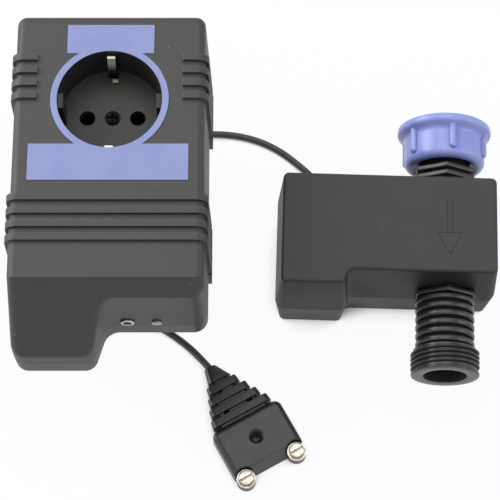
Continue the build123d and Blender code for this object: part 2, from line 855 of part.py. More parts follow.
# Indicator with its metal bezel; both lie along Y through the recess wall
led_plane = Plane(origin=(led_x, wall_y, port_z), x_dir=(1, 0, 0), z_dir=(0, 1, 0))
with BuildPart() as status_led:
    with BuildSketch(led_plane):
        Circle(led_dia / 2)
    extrude(amount=led_length)
    fillet(status_led.faces().sort_by(Axis.Y)[0].edges(), led_round)
    for n in (-1, 1):
        with Locations((led_x + n * led_leg_pitch / 2, wall_y + led_length, board_face_z)):
            Box(led_leg, led_leg, port_z - board_face_z, align=(Align.CENTER, Align.MAX, Align.MIN))
status_led.part.label = "status_led"
export_step(status_led.part, "parts/status_led.step")

with BuildPart() as led_bezel:
    with BuildSketch(led_plane):
        Circle(bezel_dia / 2)
    extrude(amount=-ring_flange)
    fillet(led_bezel.faces().sort_by(Axis.Y)[0].edges(), ring_flange / 2)
    with BuildSketch(led_plane):
        Circle(bezel_shank_dia / 2)
    extrude(amount=wall)
    with BuildSketch(led_plane.offset(-ring_flange)):
        Circle(bezel_bore / 2)
    extrude(amount=wall + ring_flange, mode=Mode.SUBTRACT)
led_bezel.part.label = "led_bezel"
export_step(led_bezel.part, "parts/led_bezel.step")

# Reset button: a stem with a stop collar, running in its metal ring, in front of its switch
button_plane = Plane(origin=(button_x, wall_y, port_z), x_dir=(1, 0, 0), z_dir=(0, 1, 0))
button_front = -ring_flange - button_proud
button_back = button_front + button_stem
with BuildPart() as reset_button:
    with BuildSketch(button_plane.offset(button_front)):
        Circle(button_dia / 2)
    extrude(amount=button_stem)
    fillet(reset_button.faces().sort_by(Axis.Y)[0].edges(), button_edge)
    with BuildSketch(button_plane.offset(wall + switch_gap)):
        Circle(button_collar_dia / 2)
    extrude(amount=button_collar)
reset_button.part.label = "reset_button"
export_step(reset_button.part, "parts/reset_button.step")

with BuildPart() as button_ring:
    with BuildSketch(button_plane):
        Circle(button_ring_dia / 2)
    extrude(amount=-ring_flange)
    with BuildSketch(button_plane):
        Circle(button_shank_dia / 2)
    extrude(amount=wall)
    with BuildSketch(button_plane.offset(-ring_flange)):
        Circle(button_dia / 2 + button_clear)
    extrude(amount=wall + ring_flange, mode=Mode.SUBTRACT)
button_ring.part.label = "button_ring"
export_step(button_ring.part, "parts/button_ring.step")

with BuildPart() as reset_switch:
    with Locations((button_x, wall_y + button_back + button_travel + switch_gap, board_face_z)):
        Box(*switch_size, align=(Align.CENTER, Align.MIN, Align.MIN))
reset_switch.part.label = "reset_switch"
export_step(reset_switch.part, "parts/reset_switch.step")

# Tapered strain reliefs that hold both cables in the rear housing
for grommet_name, place in (("sensor_grommet", sensor_exit), ("valve_grommet", valve_exit)):
    with BuildPart() as grommet:
        with BuildSketch(Plane.XY.offset(plate_z)):
            with Locations(place):
                Circle(grommet_flange_dia / 2)
        extrude(amount=grommet_flange)
        with BuildSketch(Plane.XY.offset(back_z)):
            with Locations(place):
                Circle(grommet_dia / 2)
        extrude(amount=wall)
        with BuildSketch(Plane.XY.offset(back_z)):
            with Locations(place):
                Circle(grommet_dia / 2)
        with BuildSketch(Plane.XY.offset(grommet_end_z)):
            with Locations(place):
                Circle(cable_dia / 2 + grommet_lip)
        loft()
    grommet.part.label = grommet_name
    export_step(grommet.part, f"parts/{grommet_name}.step")


def corner_radii(points):
    """For each corner of a route, the radius whose arc takes 0.45 of the shorter run beside it."""
    radii = []
    for before, here, after in zip(points, points[1:], points[2:]):
        run_in = Vector(*here) - Vector(*before)
        run_out = Vector(*after) - Vector(*here)
        half_turn = radians(run_in.get_angle(run_out)) / 2
        radii.append(0.45 * min(run_in.length, run_out.length) / tan(half_turn))
    return radii


# The free stretches of both cables, from strain relief to coil and from coil to the far end
probe_nose = probe_origin + probe_across * boot_nose_drift + probe_along * boot_tip_end
gland_end = Vector(valve_x, valve_y, 0) + across * gland_x + flow * gland_out
sensor_in_y = sensor_coil_y + coil_lead_radius
sensor_out_y = sensor_coil_y - coil_lead_radius
valve_in_x = valve_coil_x - coil_lead_radius
valve_out_x = valve_coil_x + coil_lead_radius
routes = {
    "sensor_cable_root": [
        (*sensor_exit, grommet_end_z),
        (*sensor_exit, 19.0),
        (16.5, sensor_in_y, 9.5),
        (2.5, sensor_in_y, cable_z),
        (sensor_coil_x, sensor_in_y, cable_z),
    ],
    "sensor_cable": [
        (sensor_coil_x, sensor_out_y, coil_top_z),
        (-7.0, sensor_out_y, 12.6),
        (5.0, -59.6, 7.0),
        (15.5, -61.5, 2.4),
        (24.5, -67.3, 1.6),
        (31.3, -73.7, 2.2),
        (probe_nose.X, probe_nose.Y, 3.6),
    ],
    "valve_cable_root": [
        (*valve_exit, grommet_end_z),
        (*valve_exit, 19.0),
        (valve_in_x, -6.5, 9.5),
        (valve_in_x, 7.5, cable_z),
        (-25.3, 25.0, cable_z),
        (valve_in_x, valve_coil_y, cable_z),
    ],
    "valve_cable": [
        (valve_out_x, valve_coil_y, coil_top_z),
        (valve_out_x, 31.0, 12.4),
        (20.5, 21.8, 6.4),
        (31.5, 21.5, 2.2),
        (44.0, 21.6, 1.5),
        (55.0, 18.9, 1.5),
        (64.2, 14.0, 1.5),
        (70.9, 8.4, 1.6),
        (77.7, 1.1, 3.6),
        (79.4, -4.1, 5.2),
        (gland_end.X, gland_end.Y, gland_z),
    ],
}
for cable_name, points in routes.items():
    radii = corner_radii(points)
    with BuildPart() as cable:
        with BuildLine() as path:
            FilletPolyline(*points, radius=radii)
        route = path.wires()[0]
        with BuildSketch(Plane(origin=route @ 0, z_dir=route % 0)):
            Circle(cable_dia / 2)
        sweep()
    length = route.length
    full = pi * cable_dia**2 / 4 * length
    print(cable_name, "length", round(length, 1), "radii", [round(r, 1) for r in radii])
    print(cable_name, "volume over section times length", round(cable.part.volume / full, 4))
    cable.part.label = cable_name
    export_step(cable.part, f"parts/{cable_name}.step")

# The put-away lengths, as the outer shape of each coil
for coil_name, place in (
    ("sensor_cable_coil", (sensor_coil_x, sensor_coil_y)),
    ("valve_cable_coil", (valve_coil_x, valve_coil_y)),
):
    with BuildPart() as coil:
        with BuildSketch():
            with Locations(place):
                Circle(coil_outer_dia / 2)
                Circle(coil_inner_dia / 2, mode=Mode.SUBTRACT)
        extrude(amount=coil_height)
    coil.part.label = coil_name
    export_step(coil.part, f"parts/{coil_name}.step")
turns = coil_columns * coil_layers - 0.5
print("coiled length", round(turns * pi * (coil_outer_dia + coil_inner_dia) / 2, 1))

# Probe: flat body and ribbed strain relief moulded in one, with a hole for a fixing screw
contact_places = [(-contact_half_pitch, -contact_out), (contact_half_pitch, -contact_out)]


def boot_section(along, drift):
    """The cross-section plane of the strain relief at a distance along it, at half the probe's height."""
    middle = probe_origin + probe_along * along + probe_across * drift + Vector(0, 0, probe_thick / 2)
    return Plane(origin=middle, x_dir=probe_across, z_dir=probe_along)


with BuildPart() as probe_body:
    with BuildSketch(probe_plan):
        with Locations((0, (probe_back - probe_end) / 2)):
            RectangleRounded(probe_width, probe_back + probe_end, probe_corner)
    extrude(amount=probe_thick)
    fillet(probe_body.faces().sort_by(Axis.Z)[-1].edges(), probe_side_round)
    # Bevelled end between the contacts
    end_cut = Plane(origin=probe_origin, x_dir=probe_along, z_dir=probe_across)
    with BuildSketch(end_cut):
        with BuildLine():
            Polyline(
                (-probe_end, 0),
                (-probe_end + probe_bevel, probe_thick),
                (-2 * probe_end, probe_thick),
                (-2 * probe_end, 0),
                close=True,
            )
        make_face()
    extrude(amount=probe_width, both=True, mode=Mode.SUBTRACT)
    # Ledges under the contact washers, and room for the washers above them
    with BuildSketch(probe_plan.offset(contact_step)):
        with Locations(*contact_places):
            Circle(contact_washer_dia / 2 + contact_pocket)
    extrude(amount=probe_thick, mode=Mode.SUBTRACT)
    with BuildSketch(probe_plan):
        with Locations(*contact_places):
            Circle(contact_washer_dia / 2)
    extrude(amount=contact_step)
    with BuildSketch(probe_plan):
        with Locations(*contact_places):
            Circle(contact_shank_dia / 2 + screw_clear)
    extrude(amount=contact_step, mode=Mode.SUBTRACT)
    # Strain relief: a narrow core, rings that get smaller, and a cone at the cable
    with BuildSketch(boot_section(probe_back, 0)):
        RectangleRounded(boot_widths[0] - 2 * boot_groove, boot_heights[0] - 2 * boot_groove, boot_groove)
    with BuildSketch(boot_section(boot_tip_start, boot_drifts[-1])):
        RectangleRounded(boot_tip_width - 2 * boot_groove, boot_heights[-1] - 2 * boot_groove, boot_groove)
    loft()
    for n, (ring_width, ring_height) in enumerate(zip(boot_widths, boot_heights)):
        with BuildSketch(boot_section(boot_first + n * boot_pitch, boot_drifts[n])):
            RectangleRounded(ring_width, ring_height, ring_height * boot_ring_round)
        extrude(amount=boot_ring, taper=boot_taper)
    with BuildSketch(boot_section(boot_tip_start, boot_drifts[-1])):
        RectangleRounded(boot_tip_width, boot_tip_height, boot_tip_height * boot_tip_round)
    with BuildSketch(boot_section(boot_tip_end, boot_nose_drift)):
        RectangleRounded(boot_nose_dia, boot_nose_dia, boot_nose_dia * boot_tip_round)
    loft()
    # Windows through the grooves, two beside each other in every second groove
    for n in (0, 2):
        for window_side in (-1, 1):
            with BuildSketch(probe_plan):
                window_x = window_side * boot_widths[n] * boot_window_share
                window_y = boot_first + n * boot_pitch + boot_ring + boot_window_shift
                with Locations((window_x, window_y)):
                    Rectangle(boot_window, boot_pitch - boot_ring)
            extrude(amount=probe_thick, mode=Mode.SUBTRACT)
    with BuildSketch(probe_plan):
        Circle(probe_hole_dia / 2)
    extrude(amount=probe_thick, mode=Mode.SUBTRACT)
    with Locations(probe_plan.offset(probe_thick - probe_sink / 2)):
        Cone(probe_hole_dia / 2, probe_sink_dia / 2, probe_sink, mode=Mode.SUBTRACT)
probe_body.part.label = "probe_body"
export_step(probe_body.part, "parts/probe_body.step")

# Contacts: a slotted screw through a washer, its tip level with the underside that lies on the floor
with BuildPart() as contact_washers:
    with BuildSketch(probe_plan.offset(contact_step)):
        with Locations(*contact_places):
            Circle(contact_washer_dia / 2)
            Circle(contact_shank_dia / 2 + screw_clear, mode=Mode.SUBTRACT)
    extrude(amount=contact_washer)
contact_washers.part.label = "contact_washers"
export_step(contact_washers.part, "parts/contact_washers.step")

with BuildPart() as contact_screws:
    with BuildSketch(probe_plan):
        with Locations(*contact_places):
            Circle(contact_shank_dia / 2)
    extrude(amount=contact_step + contact_washer)
    with BuildSketch(probe_plan.offset(contact_step + contact_washer)):
        with Locations(*contact_places):
            Circle(contact_head_dia / 2)
    extrude(amount=contact_head)
    fillet(contact_screws.faces().group_by(Axis.Z)[-1].edges(), contact_head_edge)
    with BuildSketch(probe_plan.offset(contact_step + contact_washer + contact_head)):
        with Locations(*contact_places):
            Rectangle(2 * contact_head_dia, contact_head_slot)
    extrude(amount=-contact_head / 2, mode=Mode.SUBTRACT)
contact_screws.part.label = "contact_screws"
export_step(contact_screws.part, "parts/contact_screws.step")


def box_plan(grow):
    """The valve box's outline at its parting line, in the valve's own directions, with the step at the left."""
    corners = [
        (box_left, box_step_front),
        (box_step_x, box_step_front),
        (box_step_x, box_front),
        (box_right, box_front),
        (box_right, box_back),
        (box_left, box_back),
    ]
    radii = [box_corner, box_step_corner, box_step_inner, box_corner, box_corner, box_corner]
    with BuildSketch() as plan:
        with BuildLine():
            FilletPolyline(*corners, radius=radii, close=True)
        make_face()
        if grow:
            offset(amount=grow)
    return plan.sketch


def tube(start, end, outer, inner=0.0):
    """A round bar or tube along the flow, between two distances from the outlet's end."""
    with BuildPart() as bar:
        with BuildSketch(port.offset(start)):
            Circle(outer / 2)
            if inner:
                Circle(inner / 2, mode=Mode.SUBTRACT)
        extrude(amount=end - start)
    return bar.part


def stub(start, end, outer, inner=0.0):
    """A round bar or tube along the solenoid's axis, between two distances from the flow's axis."""
    with BuildPart() as bar:
        with BuildSketch(side.offset(start)):
            Circle(outer / 2)
            if inner:
                Circle(inner / 2, mode=Mode.SUBTRACT)
        extrude(amount=end - start)
    return bar.part


def port_slot(width):
    """The space of the valve's tubes in the box walls: round above and straight down to the parting line."""
    with BuildPart() as slot:
        with BuildSketch(port):
            Circle(width / 2)
            with Locations((0, -width / 2)):
                Rectangle(width, width)
        extrude(amount=box_back + 2 * box_wall)
    return slot.part


# Box of the valve: a deep cover over a shallow base, closed round the tubes by two saddles on the base
with BuildPart() as valve_cover:
    with BuildSketch(valve_plan.offset(box_parting)):
        add(box_plan(0))
    extrude(amount=box_height - box_parting, taper=cover_draft)
    fillet(valve_cover.faces().sort_by(Axis.Z)[-1].edges(), cover_edge)
    with BuildSketch(valve_plan.offset(box_parting)):
        add(box_plan(-box_wall))
    extrude(amount=box_height - box_parting - box_wall, taper=cover_draft, mode=Mode.SUBTRACT)
    with BuildSketch(valve_plan.offset(box_parting)):
        with Locations(*box_post_places):
            Circle(box_post_dia / 2)
            Circle(box_screw_dia / 2 + screw_clear, mode=Mode.SUBTRACT)
    extrude(amount=box_height - box_parting - box_wall)
    add(port_slot(tube_dia + 2 * tube_clear), mode=Mode.SUBTRACT)
    # Flow arrow engraved in outline
    with BuildSketch(valve_plan.offset(box_height)):
        with Locations((0, arrow_tip + arrow_head + arrow_shaft / 2)):
            Rectangle(arrow_width, arrow_shaft)
            Rectangle(arrow_width - 2 * arrow_line, arrow_shaft + 1, mode=Mode.SUBTRACT)
    extrude(amount=-arrow_depth, mode=Mode.SUBTRACT)
    with BuildSketch(valve_plan.offset(box_height)):
        with BuildLine():
            Polyline(
                (0, arrow_tip),
                (arrow_span / 2, arrow_tip + arrow_head),
                (-arrow_span / 2, arrow_tip + arrow_head),
                close=True,
            )
        make_face()
        offset(amount=-arrow_line, mode=Mode.SUBTRACT)
    extrude(amount=-arrow_depth, mode=Mode.SUBTRACT)
valve_cover.part.label = "valve_cover"
export_step(valve_cover.part, "parts/valve_cover.step")

saddle_top = port_height - box_parting
with BuildPart() as valve_base:
    with BuildSketch(valve_plan.offset(box_parting)):
        add(box_plan(0))
    extrude(amount=-box_parting, taper=base_draft)
    fillet(valve_base.faces().sort_by(Axis.Z)[0].edges(), base_edge)
    with BuildSketch(valve_plan.offset(box_parting)):
        add(box_plan(-box_wall))
    extrude(amount=-(box_parting - box_wall), taper=base_draft, mode=Mode.SUBTRACT)
    # Saddles that stand up between the cover's slots
    with BuildSketch(valve_plan.offset(box_parting)):
        for wall_at in (box_front + box_wall, box_back - box_wall):
            with Locations((0, wall_at)):
                Rectangle(tube_dia, box_wall)
    extrude(amount=saddle_top)
    with BuildSketch(valve_plan.offset(box_wall)):
        for wall_at in (box_front + box_wall + saddle_inset, box_back - box_wall - saddle_inset):
            with Locations((0, wall_at)):
                Rectangle(tube_dia, box_wall)
    extrude(amount=box_parting)
    add(tube(0, box_back + 2 * box_wall, tube_dia + 2 * tube_clear), mode=Mode.SUBTRACT)
    with BuildSketch(valve_plan.offset(box_wall / 2)):
        with Locations(*box_post_places):
            Circle(box_post_dia / 2)
    extrude(amount=box_parting - box_wall / 2)
    with BuildSketch(valve_plan):
        with Locations(*box_post_places):
            Circle(box_screw_dia / 2 + screw_clear)
    extrude(amount=box_parting, mode=Mode.SUBTRACT)
    with BuildSketch(valve_plan):
        with Locations(*box_post_places):
            Circle(box_head_dia / 2 + tube_clear)
    extrude(amount=box_parting / 2, mode=Mode.SUBTRACT)
    gland_line = Plane(origin=Vector(valve_x, valve_y, gland_z) + across * gland_x, x_dir=-across, z_dir=flow)
    with BuildSketch(gland_line.offset(gland_in)):
        Circle(gland_dia / 2 + screw_clear)
    extrude(amount=gland_out - gland_in, mode=Mode.SUBTRACT)
valve_base.part.label = "valve_base"
export_step(valve_base.part, "parts/valve_base.step")

with BuildPart() as box_screws:
    with BuildSketch(valve_plan.offset(box_parting / 2 - box_head)):
        with Locations(*box_post_places):
            Circle(box_head_dia / 2)
    extrude(amount=box_head)
    with BuildSketch(valve_plan.offset(box_parting / 2)):
        with Locations(*box_post_places):
            Circle(box_screw_dia / 2)
    extrude(amount=box_parting / 2 + screw_reach)
    with BuildSketch(valve_plan.offset(box_parting / 2 - box_head)):
        with Locations(*box_post_places):
            Rectangle(box_head_dia * slot_share, slot_width)
    extrude(amount=box_head / 2, mode=Mode.SUBTRACT)
box_screws.part.label = "box_screws"
export_step(box_screws.part, "parts/box_screws.step")

with BuildPart() as valve_gland:
    with BuildSketch(gland_line.offset(gland_in)):
        Circle(gland_dia / 2 + gland_lip)
    extrude(amount=box_wall / 2 - screw_clear)
    with BuildSketch(gland_line.offset(gland_in)):
        Circle(gland_dia / 2)
    extrude(amount=gland_collar)
    with BuildSketch(gland_line.offset(gland_in + gland_collar)):
        Circle(gland_dia / 2)
    with BuildSketch(gland_line.offset(gland_out)):
        Circle(gland_nose_dia / 2)
    loft()
valve_gland.part.label = "valve_gland"
export_step(valve_gland.part, "parts/valve_gland.step")

# Valve body: outlet, chamber and inlet in one moulding, with the bores cut through it
with BuildPart() as valve_body:
    add(tube(0, thread_length, thread_dia))
    chamfer(valve_body.edges().filter_by(GeomType.CIRCLE), thread_edge)
    add(tube(thread_length - 1, box_front, neck_dia))
    for n in range(neck_ring_count):
        middle = neck_ring_first + n * neck_ring_pitch
        add(tube(middle - neck_ring / 2, middle + neck_ring / 2, neck_ring_dia))
    ring_edges = valve_body.edges().filter_by(GeomType.CIRCLE)
    fillet([edge for edge in ring_edges if abs(edge.radius - neck_ring_dia / 2) < 0.01], neck_ring_edge)
    for start, depth in [(hex_front, front_hex)] + [(place, hex_plate) for place in hex_plate_places]:
        with BuildSketch(port.offset(start)):
            RegularPolygon(hex_corner_dia / 2, 6, rotation=30)
        extrude(amount=depth)
    add(tube(hex_front, hex_plate_places[0], tube_dia))
    add(tube(hex_plate_places[0], hex_plate_places[1], hex_groove_dia))
    add(tube(hex_plate_places[1], nipple_end, nipple_dia))
    add(tube(nipple_end - nipple_flange, nipple_end, nipple_flange_dia))
    add(stub(-chamber_back, chamber_face, chamber_dia))
    add(tube(-1, outlet_bore_end, outlet_bore), mode=Mode.SUBTRACT)
    add(tube(outlet_bore_end - 1, chamber_at + seat_bore / 2, seat_bore), mode=Mode.SUBTRACT)
    add(tube(inlet_end, nipple_end + 1, inlet_bore), mode=Mode.SUBTRACT)
    add(stub(0, chamber_face + 1, seat_bore), mode=Mode.SUBTRACT)
    add(
        stub(chamber_face - chamber_depth, chamber_face + 1, chamber_ring_outer, chamber_ring_inner),
        mode=Mode.SUBTRACT,
    )
    add(stub(chamber_face - seat_drop, chamber_face + 1, chamber_ring_inner + 2 * chamber_seat_clear), mode=Mode.SUBTRACT)
    cross_at = chamber_at + (chamber_ring_outer + chamber_ring_inner) / 4
    with BuildSketch(Plane(origin=valve_origin + flow * cross_at, x_dir=-flow, z_dir=-across)):
        Circle(cross_bore / 2)
    extrude(amount=chamber_face - chamber_depth + 1, mode=Mode.SUBTRACT)
valve_body.part.label = "valve_body"
export_step(valve_body.part, "parts/valve_body.step")

# Union nut: it spins on the nipple, held by the nipple's flange
nut_end = nut_start + nut_length
with BuildPart() as union_nut:
    add(tube(nut_start, nut_end, nut_skirt_dia))
    fillet(union_nut.edges().filter_by(GeomType.CIRCLE).sort_by(Axis(port.origin, port.z_dir))[0], nut_skirt_round)
    with BuildSketch(port.offset(nut_end - nut_flange)):
        Circle(nut_flange_dia / 2)
    extrude(amount=nut_flange)
    flange_edges = union_nut.edges().filter_by(GeomType.CIRCLE)
    fillet([edge for edge in flange_edges if edge.radius > nut_skirt_dia / 2 + 1], nut_flange_round)
    for n in range(nut_rib_count):
        angle = radians(nut_rib_turn + n * 360 / nut_rib_count)
        out = -across * sin(angle) + Vector(0, 0, cos(angle))
        rib_plane = Plane(
            origin=valve_origin + flow * nut_start + out * (nut_skirt_dia / 2 - 1), x_dir=flow, z_dir=out
        )
        with BuildSketch(rib_plane):
            with Locations(((nut_length - nut_flange + nut_rib_start + 1) / 2, 0)):
                SlotOverall(nut_length - nut_flange - nut_rib_start + 1, nut_rib_width)
        extrude(amount=nut_rib_proud + 1)
    add(tube(nut_start - 1, nut_end, nut_neck_bore), mode=Mode.SUBTRACT)
    lip = [edge for edge in union_nut.edges().filter_by(GeomType.CIRCLE) if edge.radius < nut_neck_bore / 2 + 0.01]
    chamfer(ShapeList(lip).sort_by(Axis(port.origin, port.z_dir))[0], nut_lip_round)
    add(tube(nut_start + nut_shoulder, nut_end, nut_seat_bore), mode=Mode.SUBTRACT)
    add(tube(nut_seat_end, nut_end + 1, nut_thread_bore), mode=Mode.SUBTRACT)
union_nut.part.label = "union_nut"
export_step(union_nut.part, "parts/union_nut.step")

with BuildPart() as inlet_washer:
    add(tube(nipple_end, nipple_end + washer_thick, washer_dia, washer_bore))
inlet_washer.part.label = "inlet_washer"
export_step(inlet_washer.part, "parts/inlet_washer.step")

with BuildPart() as inlet_strainer:
    add(tube(nipple_end, nipple_end + strainer_rim, strainer_rim_dia))
    add(tube(nipple_end - strainer_length, nipple_end + strainer_rim, strainer_dia))
    add(
        tube(nipple_end - strainer_length + strainer_wall, nut_seat_end, strainer_dia - 2 * strainer_wall),
        mode=Mode.SUBTRACT,
    )
inlet_strainer.part.label = "inlet_strainer"
export_step(inlet_strainer.part, "parts/inlet_strainer.step")

# Solenoid, across the flow inside the box: diaphragm, bonnet with its tube, plunger, spring, winding and yoke
diaphragm_face = chamber_face + diaphragm_thick
bonnet_face = diaphragm_face + bonnet_thick
with BuildPart() as diaphragm:
    add(stub(chamber_face, diaphragm_face, diaphragm_dia))
    add(stub(chamber_face - seat_drop, chamber_face, diaphragm_pad_dia))
diaphragm.part.label = "diaphragm"
export_step(diaphragm.part, "parts/diaphragm.step")

with BuildPart() as valve_bonnet:
    add(stub(diaphragm_face, bonnet_face, diaphragm_dia))
    add(stub(bonnet_face, armature_end, armature_dia))
    add(stub(diaphragm_face - 1, diaphragm_face + bonnet_recess, bonnet_recess_dia), mode=Mode.SUBTRACT)
    add(stub(diaphragm_face, armature_end - bonnet_end, plunger_bore), mode=Mode.SUBTRACT)
valve_bonnet.part.label = "valve_bonnet"
export_step(valve_bonnet.part, "parts/valve_bonnet.step")

with BuildPart() as plunger:
    add(stub(plunger_start, plunger_end, plunger_dia))
    add(stub(diaphragm_face + plunger_tip_gap, plunger_start, plunger_tip_dia))
    add(stub(plunger_end - plunger_hole, plunger_end + 1, plunger_hole_dia), mode=Mode.SUBTRACT)
plunger.part.label = "plunger"
export_step(plunger.part, "parts/plunger.step")

spring_from = plunger_end - plunger_hole + spring_wire / 2 + spring_clear
spring_to = armature_end - bonnet_end - spring_wire / 2 - spring_clear
spring_plane = side.offset(spring_from)
with BuildPart() as plunger_spring:
    with BuildLine() as spring_path:
        Helix(
            pitch=(spring_to - spring_from) / spring_turns,
            height=spring_to - spring_from,
            radius=spring_dia / 2,
            center=spring_plane.origin,
            direction=spring_plane.z_dir,
        )
    spring_wire_path = spring_path.wires()[0]
    with BuildSketch(Plane(origin=spring_wire_path @ 0, z_dir=spring_wire_path % 0)):
        Circle(spring_wire / 2)
    sweep(is_frenet=True)
plunger_spring.part.label = "plunger_spring"
export_step(plunger_spring.part, "parts/plunger_spring.step")

with BuildPart() as solenoid_coil:
    add(stub(winding_start, winding_end, winding_dia - 2 * bobbin_lip))
    add(stub(winding_start, winding_start + bobbin_flange, winding_dia))
    add(stub(winding_end - bobbin_flange, winding_end, winding_dia))
    add(stub(winding_start - 1, winding_end + 1, armature_dia + 2 * tube_clear), mode=Mode.SUBTRACT)
solenoid_coil.part.label = "solenoid_coil"
export_step(solenoid_coil.part, "parts/solenoid_coil.step")

# Steel yoke: two end plates and a bar over the winding
yoke_top = winding_dia / 2 + yoke_gap
with BuildPart() as coil_yoke:
    for start in (winding_start - yoke_sheet - screw_clear, winding_end + screw_clear):
        with BuildSketch(side.offset(start)):
            with Locations((0, yoke_low)):
                Rectangle(yoke_width, yoke_top - yoke_low + yoke_sheet, align=(Align.CENTER, Align.MIN))
            Circle(armature_dia / 2 + tube_clear, mode=Mode.SUBTRACT)
        extrude(amount=yoke_sheet)
    with BuildSketch(side.offset(winding_start - yoke_sheet - screw_clear)):
        with Locations((0, yoke_top)):
            Rectangle(yoke_width, yoke_sheet, align=(Align.CENTER, Align.MIN))
    extrude(amount=winding_end - winding_start + 2 * (yoke_sheet + screw_clear))
coil_yoke.part.label = "coil_yoke"
export_step(coil_yoke.part, "parts/coil_yoke.step")

with BuildPart() as valve_junction:
    with BuildSketch(valve_plan.offset(box_wall)):
        with Locations(junction_place):
            Rectangle(junction_size[0], junction_size[1])
    extrude(amount=junction_size[2])
valve_junction.part.label = "valve_junction"
export_step(valve_junction.part, "parts/valve_junction.step")
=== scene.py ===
# Water leak detector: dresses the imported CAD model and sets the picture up
import json
import math

import bpy
from mathutils import Matrix, Vector


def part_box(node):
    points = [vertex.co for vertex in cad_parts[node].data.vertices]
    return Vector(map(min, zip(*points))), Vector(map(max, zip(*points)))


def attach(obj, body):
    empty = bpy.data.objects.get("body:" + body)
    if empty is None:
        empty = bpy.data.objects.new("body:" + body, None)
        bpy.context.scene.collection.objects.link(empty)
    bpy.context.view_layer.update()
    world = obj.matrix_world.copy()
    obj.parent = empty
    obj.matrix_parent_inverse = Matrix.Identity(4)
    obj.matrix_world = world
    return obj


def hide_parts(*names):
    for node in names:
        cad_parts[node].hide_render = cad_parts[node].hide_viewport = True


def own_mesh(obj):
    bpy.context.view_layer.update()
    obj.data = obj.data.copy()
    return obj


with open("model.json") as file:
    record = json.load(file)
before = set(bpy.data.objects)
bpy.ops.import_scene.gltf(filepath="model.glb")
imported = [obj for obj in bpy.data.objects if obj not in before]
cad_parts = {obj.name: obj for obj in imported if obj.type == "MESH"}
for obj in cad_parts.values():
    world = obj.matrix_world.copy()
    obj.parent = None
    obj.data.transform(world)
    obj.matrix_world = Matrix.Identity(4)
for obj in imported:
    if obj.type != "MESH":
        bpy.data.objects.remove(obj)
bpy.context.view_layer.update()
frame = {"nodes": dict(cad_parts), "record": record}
nodes = frame["nodes"]
mm = 0.001
print("frame loaded with", len(nodes), "nodes")


def srgb(code):
    parts = [int(code[i:i + 2], 16) / 255 for i in (1, 3, 5)]
    linear = [c / 12.92 if c <= 0.04045 else ((c + 0.055) / 1.055) ** 2.4 for c in parts]
    return (*linear, 1.0)


def addNode(tree, kind, settings=None, links=None):
    node = tree.nodes.new(kind)
    for key, value in (settings or {}).items():
        if isinstance(key, str) and hasattr(node, key):
            setattr(node, key, value)
        else:
            node.inputs[key].default_value = value
    for key, socket in (links or {}).items():
        tree.links.new(socket, node.inputs[key])
    return node


def newMaterial(name, code, rough, metal=0.0):
    material = bpy.data.materials.new(name)
    material.use_nodes = True
    tree = material.node_tree
    shader = tree.nodes["Principled BSDF"]
    shader.inputs["Base Color"].default_value = srgb(code)
    shader.inputs["Roughness"].default_value = rough
    shader.inputs["Metallic"].default_value = metal
    place = addNode(tree, "ShaderNodeTexCoord").outputs["Object"]
    return material, tree, shader, place


def feedShader(tree, shader, color=None, gloss=None, normal=None):
    for name, socket in (("Base Color", color), ("Roughness", gloss), ("Normal", normal)):
        if socket is not None:
            tree.links.new(socket, shader.inputs[name])


def reopenMaterial(material):
    # What a variant of a finished material works on: its tree, its shader and its colour so far
    tree = material.node_tree
    shader = tree.nodes["Principled BSDF"]
    return tree, shader, shader.inputs["Base Color"].links[0].from_socket


def driftingTone(tree, place, size, first, second, low, high, detail):
    # Colour that drifts between two tones in clouds of that size in mm, and the clouds themselves
    cloud = addNode(
        tree, "ShaderNodeTexNoise", {"Scale": 1000 / size, "Detail": detail}, {"Vector": place}
    ).outputs["Fac"]
    drift = addNode(tree, "ShaderNodeMapRange", {"From Min": low, "From Max": high}, {"Value": cloud})
    tone = addNode(
        tree, "ShaderNodeMix", {"data_type": "RGBA", 6: srgb(first), 7: srgb(second)},
        {0: drift.outputs[0]},
    )
    return tone.outputs[2], cloud


def paintedCornerShade(tree, tone, reach, darkest, low, high, **settings):
    # Painted shade: inner corners are painted darker, as far out as reach in mm
    corner = addNode(tree, "ShaderNodeAmbientOcclusion", {"Distance": reach * mm, **settings})
    shade = addNode(
        tree, "ShaderNodeMapRange", {"From Min": low, "From Max": high, "To Min": darkest, "To Max": 1.0},
        {"Value": corner.outputs["AO"]},
    )
    return addNode(
        tree, "ShaderNodeMix", {"data_type": "RGBA", "blend_type": "MULTIPLY", 0: 1.0},
        {6: tone, 7: shade.outputs[0]},
    ).outputs[2]


def fineRelief(tree, place, size, depth, strength, detail, **links):
    # Fine unevenness of that size and depth in mm
    height = addNode(
        tree, "ShaderNodeTexNoise", {"Scale": 1000 / size, "Detail": detail}, {"Vector": place}
    )
    return addNode(
        tree, "ShaderNodeBump", {"Strength": strength, "Distance": depth * mm},
        {"Height": height.outputs["Fac"], **links},
    ).outputs[0]


def dress(piece, material):
    piece.data.materials.clear()
    piece.data.materials.append(material)


# Camera: above the lower end of the set, as in the photograph
camera = {
    "place": Vector((51.59, -292.41, 717.52)) * mm,
    "target": Vector((51.59, -28.41, 0.0)) * mm,
    "focalPixels": 1896.4,
    "framePixels": 500,
    "sensor": 36.0,
    "clipEnd": 20.0,
}
bpy.ops.object.camera_add(location=camera["place"])
viewer = bpy.context.object
viewer.name = "viewer"
viewer.rotation_euler = (camera["target"] - camera["place"]).to_track_quat("-Z", "Y").to_euler()
viewer.data.sensor_width = camera["sensor"]
viewer.data.lens = camera["sensor"] * camera["focalPixels"] / camera["framePixels"]
viewer.data.clip_end = camera["clipEnd"]
bpy.context.scene.camera = viewer
bpy.context.scene.view_settings.view_transform = "Standard"
print("camera set, lens", round(viewer.data.lens, 2))

